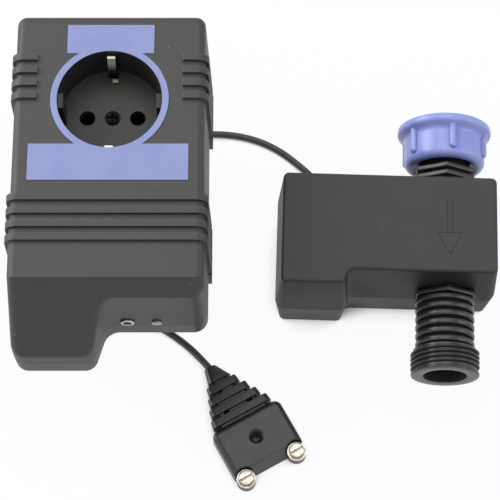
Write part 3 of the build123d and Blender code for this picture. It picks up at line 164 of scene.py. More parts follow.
# Cables: the same routes as the CAD solids, with their put-away length wound in a neat coil
cable = {
    "diameter": 2.8,
    "columns": (17.9, 15.1),
    "layers": 6,
    "pointsPerTurn": 24,
    "shiftTurns": 0.11,
    "leadTurns": 0.5,
    "curveOrder": 3,
    "lengthSteps": 5,
    "roundSteps": 5,
}
sensorCable = {
    "name": "sensorCableRun",
    "center": (-19.0, -42.0),
    "startAngle": 90.0,
    "turning": 1,
    "root": [
        (22.0, -24.1, 30.0),
        (22.0, -24.1, 19.0),
        (16.5, -24.1, 9.5),
        (2.5, -24.1, 1.4),
        (-19.0, -24.1, 1.4),
    ],
    "free": [
        (-19.0, -59.9, 15.4),
        (-7.0, -59.9, 12.6),
        (5.0, -59.6, 7.0),
        (15.5, -61.5, 2.4),
        (24.5, -67.3, 1.6),
        (31.3, -73.7, 2.2),
        (35.87, -79.43, 3.6),
    ],
}
valveCable = {
    "name": "valveCableRun",
    "center": (-6.6, 44.0),
    "startAngle": 180.0,
    "turning": -1,
    "root": [
        (-24.5, -12.0, 30.0),
        (-24.5, -12.0, 19.0),
        (-24.5, -6.5, 9.5),
        (-24.5, 7.5, 1.4),
        (-25.3, 25.0, 1.4),
        (-24.5, 44.0, 1.4),
    ],
    "free": [
        (11.3, 44.0, 15.4),
        (11.3, 31.0, 12.4),
        (20.5, 21.8, 6.4),
        (31.5, 21.5, 2.2),
        (44.0, 21.6, 1.5),
        (55.0, 18.9, 1.5),
        (64.2, 14.0, 1.5),
        (70.9, 8.4, 1.6),
        (77.7, 1.1, 3.6),
        (79.4, -4.1, 5.2),
        (79.25, -8.99, 5.5),
    ],
}


def coilPoints(run):
    # Turns lie side by side in two columns, and each change of column or layer comes a little earlier
    slots = []
    for layer in range(cable["layers"]):
        order = (0, 1) if layer % 2 == 0 else (1, 0)
        slots += [(cable["columns"][column], (layer + 0.5) * cable["diameter"]) for column in order]
    turns = len(slots) - cable["leadTurns"]
    slotTurns = (turns - 1) / (len(slots) - 1)
    count = round(turns * cable["pointsPerTurn"])
    outward = 1 / math.cos(math.pi / cable["pointsPerTurn"])
    points = []
    for k in range(count):
        turn = (k + 0.5) / cable["pointsPerTurn"]
        radius, height = slots[0]
        for n, (nextRadius, nextHeight) in enumerate(slots[1:], 1):
            share = (turn - n * slotTurns) / cable["shiftTurns"] + 1
            share = min(max(share, 0), 1)
            radius += (nextRadius - slots[n - 1][0]) * share
            height += (nextHeight - slots[n - 1][1]) * share
        angle = math.radians(run["startAngle"]) + run["turning"] * turn * 2 * math.pi
        x = run["center"][0] + radius * outward * math.cos(angle)
        y = run["center"][1] + radius * outward * math.sin(angle)
        points.append((x, y, height))
    return points


def addCable(run, material):
    points = run["root"] + coilPoints(run) + run["free"]
    line = bpy.data.curves.new(run["name"], "CURVE")
    line.dimensions = "3D"
    spline = line.splines.new("NURBS")
    spline.points.add(len(points) - 1)
    for place, point in zip(spline.points, points):
        place.co = (*(Vector(point) * mm), 1.0)
    spline.order_u = cable["curveOrder"]
    spline.use_endpoint_u = True
    spline.resolution_u = cable["lengthSteps"]
    line.bevel_depth = cable["diameter"] / 2 * mm
    line.bevel_resolution = cable["roundSteps"]
    line.use_fill_caps = True
    piece = bpy.data.objects.new(run["name"], line)
    bpy.context.scene.collection.objects.link(piece)
    line.materials.append(material)
    return piece


# The valve's flow axis: its pieces are modelled on the Y axis at the origin and then moved here
valve = {"place": (125.75, -88.5, 24.0), "turn": -1.82, "steps": 96, "sharp": 35.0}

# Plastics. grain and cloud are the sizes of the moulded texture and of the colour's drift in mm, depth the
# grain's height, edge the radius that a moulded corner catches the light with, and the edge tone there is
# wear and painted highlight. crease is how far the painted corner shade reaches out of a corner and shade
# how dark it gets there, dust how clearly the specks show, the tone for the upright faces is a painted
# shade, and specular how strongly the skin mirrors (0.5 if not given)
plastics = {
    # Moulded ABS, spark-eroded mould: even dark grey with a fine matt grain, lighter on the edges from wear
    # and painted highlight
    "mouldedAbs": {
        "base": "#31302f", "worn": "#373635", "edgeWearAndSheen": "#827f79", "rough": 0.5, "grain": 0.35,
        "depth": 0.006, "cloud": 30.0, "edge": 0.5, "crease": 2.2, "shade": 0.12, "dust": 0.5,
    },
    # Moulded ABS of the valve box: dark grey and semi-matt with soft edges, its upright faces painted
    # nearly black as their shade
    "valveBoxAbs": {
        "base": "#3e3e3f", "worn": "#444445", "edgeWearAndSheen": "#565656", "rough": 0.5, "grain": 0.4,
        "depth": 0.005, "cloud": 24.0, "edge": 0.8, "crease": 1.6, "shade": 0.5, "dust": 0.3,
        "side": "#242425", "specular": 0.22,
    },
    # Glass-filled polyamide of the water ways: black, slightly shiny, with a sandy skin
    "glassFilledPolyamide": {
        "base": "#262626", "worn": "#2d2c2b", "edgeWearAndSheen": "#524f4c", "rough": 0.34, "grain": 0.5,
        "depth": 0.008, "cloud": 8.0, "edge": 0.25, "crease": 1.8, "shade": 0.28, "dust": 0.25,
    },
    # Soft PVC of the probe, moulded over its cable: dark, satin, lighter on its edges from wear and painted
    # highlight
    "softPvcProbe": {
        "base": "#171717", "worn": "#1d1d1c", "edgeWearAndSheen": "#4c4b4a", "rough": 0.36, "grain": 0.6,
        "depth": 0.01, "cloud": 7.0, "edge": 0.6, "crease": 1.6, "shade": 0.08, "dust": 0.7,
    },
    # Polyamide of the union nut, coloured in the mass: light violet-blue with a soft gloss
    "violetPolyamide": {
        "base": "#929de4", "worn": "#9ca7e9", "edgeWearAndSheen": "#bccaf8", "rough": 0.3, "grain": 1.2,
        "depth": 0.006, "cloud": 12.0, "edge": 0.35, "crease": 1.6, "shade": 0.55, "dust": 0.0,
    },
    # Polycarbonate of the reset button: pale grey and smooth
    "buttonPolycarbonate": {
        "base": "#a8a6a0", "worn": "#b5b3ad", "edgeWearAndSheen": "#d0cec8", "rough": 0.33, "grain": 0.5,
        "depth": 0.003, "cloud": 3.0, "edge": 0.25, "crease": 0.6, "shade": 0.5, "dust": 0.0,
    },
    # Moulded epoxy of chips, switch and buzzer: black, matt, with a coarse grain
    "blackEpoxy": {
        "base": "#222223", "worn": "#2b2b2b", "edgeWearAndSheen": "#4a4a4a", "rough": 0.55, "grain": 0.25,
        "depth": 0.008, "cloud": 5.0, "edge": 0.2, "crease": 0.8, "shade": 0.5, "dust": 0.2,
    },
    # Nylon case of the relay: dark blue and satin
    "relayNylon": {
        "base": "#29395c", "worn": "#304269", "edgeWearAndSheen": "#56688f", "rough": 0.4, "grain": 0.3,
        "depth": 0.004, "cloud": 6.0, "edge": 0.3, "crease": 0.8, "shade": 0.5, "dust": 0.2,
    },
    # Polyamide of the terminal block: mid green, satin
    "terminalPolyamide": {
        "base": "#3d7d4e", "worn": "#468858", "edgeWearAndSheen": "#6fae80", "rough": 0.42, "grain": 0.3,
        "depth": 0.004, "cloud": 4.0, "edge": 0.25, "crease": 0.9, "shade": 0.45, "dust": 0.2,
    },
    # EPDM rubber of seals and grommets: dull black with a dusty bloom
    "epdmRubber": {
        "base": "#2c2b2a", "worn": "#383634", "edgeWearAndSheen": "#4e4c49", "rough": 0.68, "grain": 0.5,
        "depth": 0.012, "cloud": 3.5, "edge": 0.3, "crease": 0.8, "shade": 0.5, "dust": 0.4,
    },
}
# Dust: single pale specks about 0.3 mm wide, closer together where the colour's cloud is thick
dust = {"spacing": 5.5, "far": 0.05, "near": 0.03, "cloudOver": 0.56, "tone": "#b9b6ae"}
# The joint between two shells: a dark line, drawn 0.9 mm wide instead of 0.3 so that it shows
shellJoint = {"halfWidth": 0.45, "tone": "#0c0c0c"}


def mouldedPlastic(name, seam=None):
    look = plastics[name]
    material, tree, shader, place = newMaterial(name, look["base"], look["rough"])
    shader.inputs["Specular IOR Level"].default_value = look.get("specular", 0.5)
    tone, cloud = driftingTone(tree, place, look["cloud"], look["base"], look["worn"], 0.35, 0.65, 4.0)
    # Wear and painted highlight on the corners: they go lighter where the bevelled normal leaves the flat
    # one
    soft = addNode(tree, "ShaderNodeBevel", {"samples": 6, "Radius": look["edge"] * mm}).outputs[0]
    flat = addNode(tree, "ShaderNodeNewGeometry").outputs["Normal"]
    if "side" in look:
        # Painted shade: the upright faces are painted blacker than what faces up
        upward = addNode(tree, "ShaderNodeSeparateXYZ", links={0: flat}).outputs[2]
        upFacing = addNode(
            tree, "ShaderNodeMapRange", {"From Min": 0.3, "From Max": 0.9}, {"Value": upward}
        )
        tone = addNode(
            tree, "ShaderNodeMix", {"data_type": "RGBA", 6: srgb(look["side"])},
            {0: upFacing.outputs[0], 7: tone},
        ).outputs[2]
    bend = addNode(tree, "ShaderNodeVectorMath", {"operation": "DOT_PRODUCT"}, {0: soft, 1: flat})
    wearAndSheen = addNode(
        tree, "ShaderNodeMapRange", {"From Min": 0.995, "From Max": 0.8, "To Max": 0.55},
        {"Value": bend.outputs["Value"]},
    )
    tone = addNode(
        tree, "ShaderNodeMix", {"data_type": "RGBA", 7: srgb(look["edgeWearAndSheen"])},
        {0: wearAndSheen.outputs[0], 6: tone},
    ).outputs[2]
    if look["dust"]:
        speck = addNode(
            tree, "ShaderNodeTexVoronoi", {"Scale": 1000 / dust["spacing"]}, {"Vector": place}
        )
        near = addNode(
            tree, "ShaderNodeMapRange",
            {"From Min": dust["far"], "From Max": dust["near"], "To Max": look["dust"]},
            {"Value": speck.outputs["Distance"]},
        )
        here = addNode(
            tree, "ShaderNodeMath", {"operation": "GREATER_THAN", 1: dust["cloudOver"]}, {0: cloud}
        )
        share = addNode(
            tree, "ShaderNodeMath", {"operation": "MULTIPLY"}, {0: near.outputs[0], 1: here.outputs[0]}
        )
        tone = addNode(
            tree, "ShaderNodeMix", {"data_type": "RGBA", 7: srgb(dust["tone"])},
            {0: share.outputs[0], 6: tone},
        ).outputs[2]
    if seam is not None:
        height = addNode(tree, "ShaderNodeSeparateXYZ", links={0: place}).outputs[2]
        line = addNode(
            tree, "ShaderNodeMath", {"operation": "COMPARE", 1: seam, 2: shellJoint["halfWidth"] * mm},
            {0: height},
        )
        tone = addNode(
            tree, "ShaderNodeMix", {"data_type": "RGBA", 7: srgb(shellJoint["tone"])},
            {0: line.outputs[0], 6: tone},
        ).outputs[2]
    # Painted shade in the inner corners
    tone = paintedCornerShade(tree, tone, look["crease"], look["shade"], 0.25, 0.8, samples=6, only_local=True)
    gloss = addNode(
        tree, "ShaderNodeMapRange",
        {"From Min": 0.3, "From Max": 0.7, "To Min": look["rough"] - 0.05, "To Max": look["rough"] + 0.06},
        {"Value": cloud},
    )
    grain = fineRelief(tree, place, look["grain"], look["depth"], 0.6, 2.0, Normal=soft)
    feedShader(tree, shader, tone, gloss.outputs[0], grain)
    return material


# Metals. streak is the spacing of the drawn or turned lines in mm, cloud the size of the stains
metals = {
    # Nickel-plated brass, barrel polished: warm pale mirror with a soft haze
    "nickelPlate": {"base": "#b9b4a6", "dull": "#958f80", "rough": 0.3, "streak": 0.5, "cloud": 2.5},
    # Tin-plated spring bronze of the earth clips: pale and satin, light from every side
    "tinnedBronze": {"base": "#e6e0d0", "dull": "#cfc8b6", "rough": 0.5, "streak": 1.2, "cloud": 4.0},
    # The same strip down on the socket's floor, tarnished where nothing rubs it
    "agedTin": {"base": "#8b8770", "dull": "#6a6653", "rough": 0.5, "streak": 1.2, "cloud": 1.5},
    # Zinc-plated steel: bluish grey, a little cloudy
    "zincPlatedSteel": {"base": "#b2b6ba", "dull": "#8f9398", "rough": 0.36, "streak": 0.4, "cloud": 2.0},
    # Brass of the contacts, tarnished and painted near black for the shade in their holes: dark brown and
    # dull
    "tarnishedBrassInPaintedShade": {"base": "#2a2419", "dull": "#15130f", "rough": 0.55, "streak": 0.4, "cloud": 3.0},
    # Steel screw deep in the socket, blackened and painted darker still for its shade there: dark with a
    # dull shine
    "blackenedSteelInPaintedShade": {"base": "#141413", "dull": "#0a0a0a", "rough": 0.38, "streak": 0.4, "cloud": 2.0},
}
# Alike for all metals: the lines run along Z, stretched by the inverse of stretch and depth mm deep
metalSkin = {"edge": 0.2, "crease": 0.9, "paintedShade": 0.04, "stretch": 0.08, "depth": 0.003}


def platedMetal(name):
    look = metals[name]
    material, tree, shader, place = newMaterial(name, look["base"], look["rough"], 1.0)
    tone, cloud = driftingTone(tree, place, look["cloud"], look["base"], look["dull"], 0.45, 0.75, 5.0)
    # Painted shade: slots and the gap under a head are painted black
    tone = paintedCornerShade(tree, tone, metalSkin["crease"], metalSkin["paintedShade"], 0.35, 0.85, samples=8)
    gloss = addNode(
        tree, "ShaderNodeMapRange",
        {"From Min": 0.35, "From Max": 0.7, "To Min": look["rough"] - 0.06, "To Max": look["rough"] + 0.14},
        {"Value": cloud},
    )
    soft = addNode(tree, "ShaderNodeBevel", {"samples": 6, "Radius": metalSkin["edge"] * mm}).outputs[0]
    drawn = addNode(
        tree, "ShaderNodeMapping", {"Scale": (1.0, 1.0, metalSkin["stretch"])}, {"Vector": place}
    ).outputs[0]
    lines = fineRelief(tree, drawn, look["streak"], metalSkin["depth"], 0.15, 1.0, Normal=soft)
    feedShader(tree, shader, tone, gloss.outputs[0], lines)
    return material


# The socket's well: its tones, painted shade among them, and where they begin in mm. The guides stand at
# both sides of its floor
well = {
    "radius": 19.55,
    "top": 84.4,
    "floorHigh": 67.2,
    "floorLow": 66.8,
    "guideInner": 16.0,
    "guideLow": 70.0,
    "wallTone": "#191919",
    "floorTone": "#2d2d2c",
    "guideShade": "#030303",
}


def housingWithSocket():
    # The housing's grey outside, and inside its rim the socket's well, darker: partly a darker black
    # insert, partly painted shade
    material = mouldedPlastic("mouldedAbs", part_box("rear_housing")[1][2])
    tree, shader, outside = reopenMaterial(material)
    place = addNode(tree, "ShaderNodeTexCoord").outputs["Object"]
    parts = addNode(tree, "ShaderNodeSeparateXYZ", links={0: place})
    across = addNode(tree, "ShaderNodeCombineXYZ", links={0: parts.outputs[0], 1: parts.outputs[1]})
    radius = addNode(tree, "ShaderNodeVectorMath", {"operation": "LENGTH"}, {0: across.outputs[0]})
    inside = addNode(
        tree, "ShaderNodeMath", {"operation": "LESS_THAN", 1: well["radius"] * mm},
        {0: radius.outputs["Value"]},
    )
    below = addNode(
        tree, "ShaderNodeMath", {"operation": "LESS_THAN", 1: well["top"] * mm}, {0: parts.outputs[2]}
    )
    mask = addNode(
        tree, "ShaderNodeMath", {"operation": "MULTIPLY"}, {0: inside.outputs[0], 1: below.outputs[0]}
    )
    # The floor of the well takes light from above and stays a little lighter than its wall
    floorShare = addNode(
        tree, "ShaderNodeMapRange",
        {"From Min": well["floorHigh"] * mm, "From Max": well["floorLow"] * mm},
        {"Value": parts.outputs[2]},
    )
    wellTone = addNode(
        tree, "ShaderNodeMix",
        {"data_type": "RGBA", 6: srgb(well["wallTone"]), 7: srgb(well["floorTone"])},
        {0: floorShare.outputs[0]},
    ).outputs[2]
    # Painted shade: the tops of the guides, what lies outwards and high in the well and faces up, are
    # painted nearly black
    sideways = addNode(
        tree, "ShaderNodeMath", {"operation": "ABSOLUTE"}, {0: parts.outputs[0]}
    ).outputs[0]
    upright = addNode(tree, "ShaderNodeNewGeometry").outputs["Normal"]
    facing = addNode(tree, "ShaderNodeSeparateXYZ", links={0: upright}).outputs[2]
    guideTopShade = addNode(
        tree, "ShaderNodeMath", {"operation": "GREATER_THAN", 1: well["guideInner"] * mm}, {0: sideways}
    ).outputs[0]
    for limit, measure in ((well["guideLow"] * mm, parts.outputs[2]), (0.5, facing)):
        over = addNode(tree, "ShaderNodeMath", {"operation": "GREATER_THAN", 1: limit}, {0: measure})
        guideTopShade = addNode(
            tree, "ShaderNodeMath", {"operation": "MULTIPLY"}, {0: guideTopShade, 1: over.outputs[0]}
        ).outputs[0]
    wellTone = addNode(
        tree, "ShaderNodeMix", {"data_type": "RGBA", 7: srgb(well["guideShade"])},
        {0: guideTopShade, 6: wellTone},
    ).outputs[2]
    tone = addNode(
        tree, "ShaderNodeMix", {"data_type": "RGBA"}, {0: mask.outputs[0], 6: outside, 7: wellTone}
    )
    feedShader(tree, shader, tone.outputs[2])
    return material


# The nut's skin has a thin gloss and lets a little light in. Its shadows are painted violet, not grey,
# because the colour is in the mass; shadowReach is in mm, and so is how deep the light goes
nutSkin = {
    "coat": 0.12,
    "coatRough": 0.25,
    "inside": 0.15,
    "insideColors": (0.6, 0.6, 1.0),
    "insideDepth": 1.5,
    "shadow": "#4338a8",
    "shadowReach": 7.0,
}


def glossyPolyamide():
    material = mouldedPlastic("violetPolyamide")
    tree, shader, outside = reopenMaterial(material)
    shader.inputs["Coat Weight"].default_value = nutSkin["coat"]
    shader.inputs["Coat Roughness"].default_value = nutSkin["coatRough"]
    shader.inputs["Subsurface Weight"].default_value = nutSkin["inside"]
    shader.inputs["Subsurface Radius"].default_value = nutSkin["insideColors"]
    shader.inputs["Subsurface Scale"].default_value = nutSkin["insideDepth"] * mm
    corner = addNode(
        tree, "ShaderNodeAmbientOcclusion", {"samples": 8, "Distance": nutSkin["shadowReach"] * mm}
    )
    shade = addNode(
        tree, "ShaderNodeMapRange", {"From Min": 0.95, "From Max": 0.4, "To Max": 0.9},
        {"Value": corner.outputs["AO"]},
    )
    tone = addNode(
        tree, "ShaderNodeMix", {"data_type": "RGBA", 7: srgb(nutSkin["shadow"])},
        {0: shade.outputs[0], 6: outside},
    )
    feedShader(tree, shader, tone.outputs[2])
    return material


# The outlet's polyamide: the grooves between its rings and threads are painted near black as their shade
# and don't shine
grooves = {"paintedShade": "#070707", "cleanRough": 0.32, "shadeRough": 0.9, "cleanEnd": 0.1}


def groovedPolyamide(name, deep, shallow):
    material = mouldedPlastic("glassFilledPolyamide")
    material.name = name
    tree, shader, outside = reopenMaterial(material)
    place = addNode(tree, "ShaderNodeTexCoord").outputs["Object"]
    centred = addNode(
        tree, "ShaderNodeVectorMath", {"operation": "SUBTRACT", 1: Vector(valve["place"]) * mm},
        {0: place},
    )
    turned = addNode(
        tree, "ShaderNodeMapping", {"Rotation": (0, 0, math.radians(-valve["turn"]))},
        {"Vector": centred.outputs[0]},
    )
    parts = addNode(tree, "ShaderNodeSeparateXYZ", links={0: turned.outputs[0]})
    across = addNode(tree, "ShaderNodeCombineXYZ", links={0: parts.outputs[0], 2: parts.outputs[2]})
    radius = addNode(tree, "ShaderNodeVectorMath", {"operation": "LENGTH"}, {0: across.outputs[0]})
    groove = addNode(
        tree, "ShaderNodeMapRange", {"From Min": shallow * mm, "From Max": deep * mm},
        {"Value": radius.outputs["Value"]},
    )
    # The end face, which lies at 0 along the flow, stays free of the painted shade
    behind = addNode(
        tree, "ShaderNodeMath", {"operation": "GREATER_THAN", 1: grooves["cleanEnd"] * mm},
        {0: parts.outputs[1]},
    )
    paintedShade = addNode(
        tree, "ShaderNodeMath", {"operation": "MULTIPLY"}, {0: groove.outputs[0], 1: behind.outputs[0]}
    ).outputs[0]
    # Painted shade: near black in the grooves
    tone = addNode(
        tree, "ShaderNodeMix", {"data_type": "RGBA", 7: srgb(grooves["paintedShade"])}, {0: paintedShade, 6: outside}
    )
    gloss = addNode(
        tree, "ShaderNodeMapRange", {"To Min": grooves["cleanRough"], "To Max": grooves["shadeRough"]},
        {"Value": paintedShade},
    )
    feedShader(tree, shader, tone.outputs[2], gloss.outputs[0])
    return material


# Screen-printed polyester film: flat violet-blue, faintly uneven ink, satin. Rows of dots from the printing
# screen, one spacing apart, only just lift the ink
film = {"ink": "#7f89bd", "thinInk": "#8993c5", "rough": 0.38, "cloud": 14.0, "screen": 0.4, "depth": 0.004}


def labelFilm():
    material, tree, shader, place = newMaterial("printedPolyesterFilm", film["ink"], film["rough"])
    tone = driftingTone(tree, place, film["cloud"], film["ink"], film["thinInk"], 0.3, 0.7, 3.0)[0]
    screen = addNode(
        tree, "ShaderNodeTexVoronoi", {"Scale": 1000 / film["screen"], "Randomness": 0.1},
        {"Vector": place},
    )
    bump = addNode(
        tree, "ShaderNodeBump", {"Strength": 0.15, "Distance": film["depth"] * mm},
        {"Height": screen.outputs["Distance"]},
    )
    feedShader(tree, shader, tone, normal=bump.outputs[0])
    return material


# Glass-epoxy laminate under green lacquer: lighter and raised where a copper trace runs below
board = {
    "lacquer": ("#2a5236", "#2f5b3d"),
    "trace": "#4d8a5a",
    "glass": "#336143",
    "rough": 0.32,
    "traceSpacing": 6.0,
    "traceHeight": 0.03,
    "weave": 0.5,
}


def circuitBoard():
    material, tree, shader, place = newMaterial("lacqueredEpoxyBoard", board["lacquer"][1], board["rough"])
    traces = addNode(
        tree, "ShaderNodeTexBrick",
        {"Scale": 1000 / board["traceSpacing"], "Mortar Size": 0.035, "offset": 0.35,
         "Color1": srgb(board["lacquer"][0]), "Color2": srgb(board["lacquer"][1]),
         "Mortar": srgb(board["trace"])},
        {"Vector": place},
    )
    weave = addNode(
        tree, "ShaderNodeTexNoise", {"Scale": 1000 / board["weave"], "Detail": 1.0}, {"Vector": place}
    )
    tone = addNode(
        tree, "ShaderNodeMix", {"data_type": "RGBA", 7: srgb(board["glass"])},
        {0: weave.outputs["Fac"], 6: traces.outputs["Color"]},
    )
    bump = addNode(
        tree, "ShaderNodeBump", {"Strength": 0.4, "Distance": board["traceHeight"] * mm},
        {"Height": traces.outputs["Fac"]},
    )
    feedShader(tree, shader, tone.outputs[2], normal=bump.outputs[0])
    return material


# Stacks: spacing is one layer in mm, across the axis that the layers follow each other on
stacks = {
    # Silicon steel sheets of the transformer's core, punched: grey, with darker joints between them
    "siliconSteelSheets": {
        "base": "#7b7a78", "joint": "#4a4846", "spacing": 0.5, "rough": 0.42, "metal": 1.0, "across": "X",
    },
    # Enamelled copper wire, wound: red-brown and shiny, darker between its turns
    "enamelledCopperWire": {
        "base": "#a8562c", "joint": "#6b3218", "spacing": 0.6, "rough": 0.3, "metal": 0.6, "across": "Y",
    },
}


def waveScale(spacing):
    # A wave texture of scale s repeats every pi / 10 / s
    return math.pi / 10 / (spacing * mm)


def layeredStack(name):
    look = stacks[name]
    material, tree, shader, place = newMaterial(name, look["base"], look["rough"], look["metal"])
    bands = addNode(
        tree, "ShaderNodeTexWave",
        {"Scale": waveScale(look["spacing"]), "bands_direction": look["across"], "Distortion": 0.4},
        {"Vector": place},
    )
    cloud = addNode(tree, "ShaderNodeTexNoise", {"Scale": 1000 / 3.0, "Detail": 3.0}, {"Vector": place})
    banded = addNode(
        tree, "ShaderNodeMix", {"data_type": "RGBA", 6: srgb(look["base"]), 7: srgb(look["joint"])},
        {0: bands.outputs["Fac"]},
    )
    tone = addNode(
        tree, "ShaderNodeMix", {"data_type": "RGBA", 7: srgb(look["joint"])},
        {0: cloud.outputs["Fac"], 6: banded.outputs[2]},
    )
    bump = addNode(
        tree, "ShaderNodeBump", {"Strength": 0.7, "Distance": look["spacing"] / 4 * mm},
        {"Height": bands.outputs["Fac"]},
    )
    feedShader(tree, shader, tone.outputs[2], normal=bump.outputs[0])
    return material


# Woven stainless gauze: bright wires over dark gaps, drawn 1 mm apart, coarser than real so that it shows
gauze = {"wire": "#b4b3ae", "gap": "#2b2b2a", "rough": 0.35, "spacing": 1.0, "depth": 0.2}


def strainerGauze():
    material, tree, shader, place = newMaterial("wovenSteelGauze", gauze["wire"], gauze["rough"], 1.0)
    wires = [
        addNode(
            tree, "ShaderNodeTexWave",
            {"Scale": waveScale(gauze["spacing"]), "bands_direction": direction},
            {"Vector": place},
        )
        for direction in ("Y", "Z")
    ]
    cross = addNode(
        tree, "ShaderNodeMath", {"operation": "MAXIMUM"},
        {0: wires[0].outputs["Fac"], 1: wires[1].outputs["Fac"]},
    )
    tone = addNode(
        tree, "ShaderNodeMix", {"data_type": "RGBA", 6: srgb(gauze["gap"]), 7: srgb(gauze["wire"])},
        {0: cross.outputs[0]},
    )
    bump = addNode(
        tree, "ShaderNodeBump", {"Strength": 0.8, "Distance": gauze["depth"] * mm},
        {"Height": cross.outputs[0]},
    )
    feedShader(tree, shader, tone.outputs[2], normal=bump.outputs[0])
    return material


# Clear parts: smudges, of the size in mm, tint them faintly and dull their gloss
clears = {
    # Soda-lime glass of the fuse's tube, drawn: nearly clear with sharp reflections
    "fuseGlass": {"base": "#e4e8e6", "rough": 0.05, "clear": 0.85, "ior": 1.5},
    # Epoxy of the light-emitting diode, cast: smoky and only half clear
    "castEpoxyLens": {"base": "#8f8579", "rough": 0.12, "clear": 0.5, "ior": 1.5},
}
smudges = {"tone": "#b8b2a6", "size": 1.5, "dulling": 0.15}


def clearPart(name):
    look = clears[name]
    material, tree, shader, place = newMaterial(name, look["base"], look["rough"])
    shader.inputs["Transmission Weight"].default_value = look["clear"]
    shader.inputs["IOR"].default_value = look["ior"]
    smudge = addNode(
        tree, "ShaderNodeTexNoise", {"Scale": 1000 / smudges["size"], "Detail": 4.0}, {"Vector": place}
    ).outputs["Fac"]
    gloss = addNode(
        tree, "ShaderNodeMapRange",
        {"From Min": 0.4, "From Max": 0.7, "To Min": look["rough"],
         "To Max": look["rough"] + smudges["dulling"]},
        {"Value": smudge},
    )
    tone = addNode(
        tree, "ShaderNodeMix", {"data_type": "RGBA", 6: srgb(look["base"]), 7: srgb(smudges["tone"])},
        {0: smudge},
    )
    feedShader(tree, shader, tone.outputs[2], gloss.outputs[0])
    return material


# Soft PVC sheath, extruded: a smooth dark skin, a little dusty, faintly wavy
pvc = {"base": "#323232", "dusty": "#3c3b3a", "rough": 0.42, "cloud": 6.0, "ripple": 0.8, "depth": 0.02}


def cableSheath():
    material, tree, shader, place = newMaterial("softPvcSheath", pvc["base"], pvc["rough"])
    tone = driftingTone(tree, place, pvc["cloud"], pvc["base"], pvc["dusty"], 0.35, 0.65, 4.0)[0]
    ripple = fineRelief(tree, place, pvc["ripple"], pvc["depth"], 0.4, 1.0)
    feedShader(tree, shader, tone, normal=ripple)
    return material


# The clip's bent top stays bright, and lower down it is painted dark with the shade of its slot, heights in
# mm
earthClip = {"bright": 78.5, "shadedBelow": 74.5, "slotShade": "#191814"}


def clipTinPaintedShade():
    material = platedMetal("tinnedBronze")
    tree, shader, outside = reopenMaterial(material)
    place = addNode(tree, "ShaderNodeTexCoord").outputs["Object"]
    height = addNode(tree, "ShaderNodeSeparateXYZ", links={0: place}).outputs[2]
    low = addNode(
        tree, "ShaderNodeMapRange",
        {"From Min": earthClip["bright"] * mm, "From Max": earthClip["shadedBelow"] * mm},
        {"Value": height},
    )
    # Painted shade of the slot, below the bright top
    tone = addNode(
        tree, "ShaderNodeMix", {"data_type": "RGBA", 7: srgb(earthClip["slotShade"])},
        {0: low.outputs[0], 6: outside},
    )
    feedShader(tree, shader, tone.outputs[2])
    return material


sheath = cableSheath()
slotLook = {
    "housing": housingWithSocket(),
    "valve_plastic": mouldedPlastic("valveBoxAbs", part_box("valve_cover")[0][2]),
    "port_plastic": mouldedPlastic("glassFilledPolyamide"),
    "probe_plastic": mouldedPlastic("softPvcProbe"),
    "nut_plastic": glossyPolyamide(),
    "button_plastic": mouldedPlastic("buttonPolycarbonate"),
    "black_part": mouldedPlastic("blackEpoxy"),
    "relay_case": mouldedPlastic("relayNylon"),
    "terminal_green": mouldedPlastic("terminalPolyamide"),
    "seal": mouldedPlastic("epdmRubber"),
    "label": labelFilm(),
    "nickel": platedMetal("nickelPlate"),
    "steel": platedMetal("zincPlatedSteel"),
    "copper_alloy": platedMetal("tarnishedBrassInPaintedShade"),
    "board": circuitBoard(),
    "core": layeredStack("siliconSteelSheets"),
    "winding": layeredStack("enamelledCopperWire"),
    "fuse_glass": clearPart("fuseGlass"),
    "led_lens": clearPart("castEpoxyLens"),
    "strainer": strainerGauze(),
    "cable": sheath,
}
for row in frame["record"]["subparts"]:
    dress(nodes[row["node"]], slotLook[row["material_slot"]])
dress(nodes["socket_screw"], platedMetal("blackenedSteelInPaintedShade"))
clipTin = clipTinPaintedShade()
for name in ("earth_strip", "plug_earth_strips"):
    dress(nodes[name], clipTin)
print("materials made:", len(slotLook))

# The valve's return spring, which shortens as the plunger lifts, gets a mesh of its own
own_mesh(nodes["plunger_spring"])

sensorRun = addCable(sensorCable, sheath)
valveRun = addCable(valveCable, sheath)
for run in (sensorRun, valveRun):
    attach(run, "detector")
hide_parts("sensor_cable_root", "sensor_cable", "sensor_cable_coil")
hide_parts("valve_cable_root", "valve_cable", "valve_cable_coil")
print("cables laid")


def toObjectMode():
    if bpy.context.object and bpy.context.object.mode != "OBJECT":
        bpy.ops.object.mode_set(mode="OBJECT")
    bpy.ops.object.select_all(action="DESELECT")


def pickOnly(piece):
    toObjectMode()
    bpy.context.view_layer.objects.active = piece
    piece.select_set(True)


def useModifier(piece, kind, **settings):
    pickOnly(piece)
    modifier = piece.modifiers.new(kind.lower(), kind)
    for key, value in settings.items():
        setattr(modifier, key, value)
    bpy.ops.object.modifier_apply(modifier=modifier.name)


def applyPlace(piece):
    pickOnly(piece)
    bpy.ops.object.transform_apply(location=True, rotation=True, scale=True)


def editPoints(piece, chosen):
    # Into edit mode with only the points that chosen accepts
    for point in piece.data.vertices:
        point.select = chosen(point.co)
    for part in (*piece.data.edges, *piece.data.polygons):
        part.select = False
    bpy.ops.object.mode_set(mode="EDIT")
    bpy.ops.mesh.select_mode(type="VERT")


def arcPoints(along, radius, size, fromAngle, toAngle, count=6):
    # Points of a rounded corner in an outline, angles in degrees from the axis direction
    points = []
    for n in range(count + 1):
        angle = math.radians(fromAngle + (toAngle - fromAngle) * n / count)
        points.append((along + size * math.cos(angle), radius + size * math.sin(angle)))
    return points


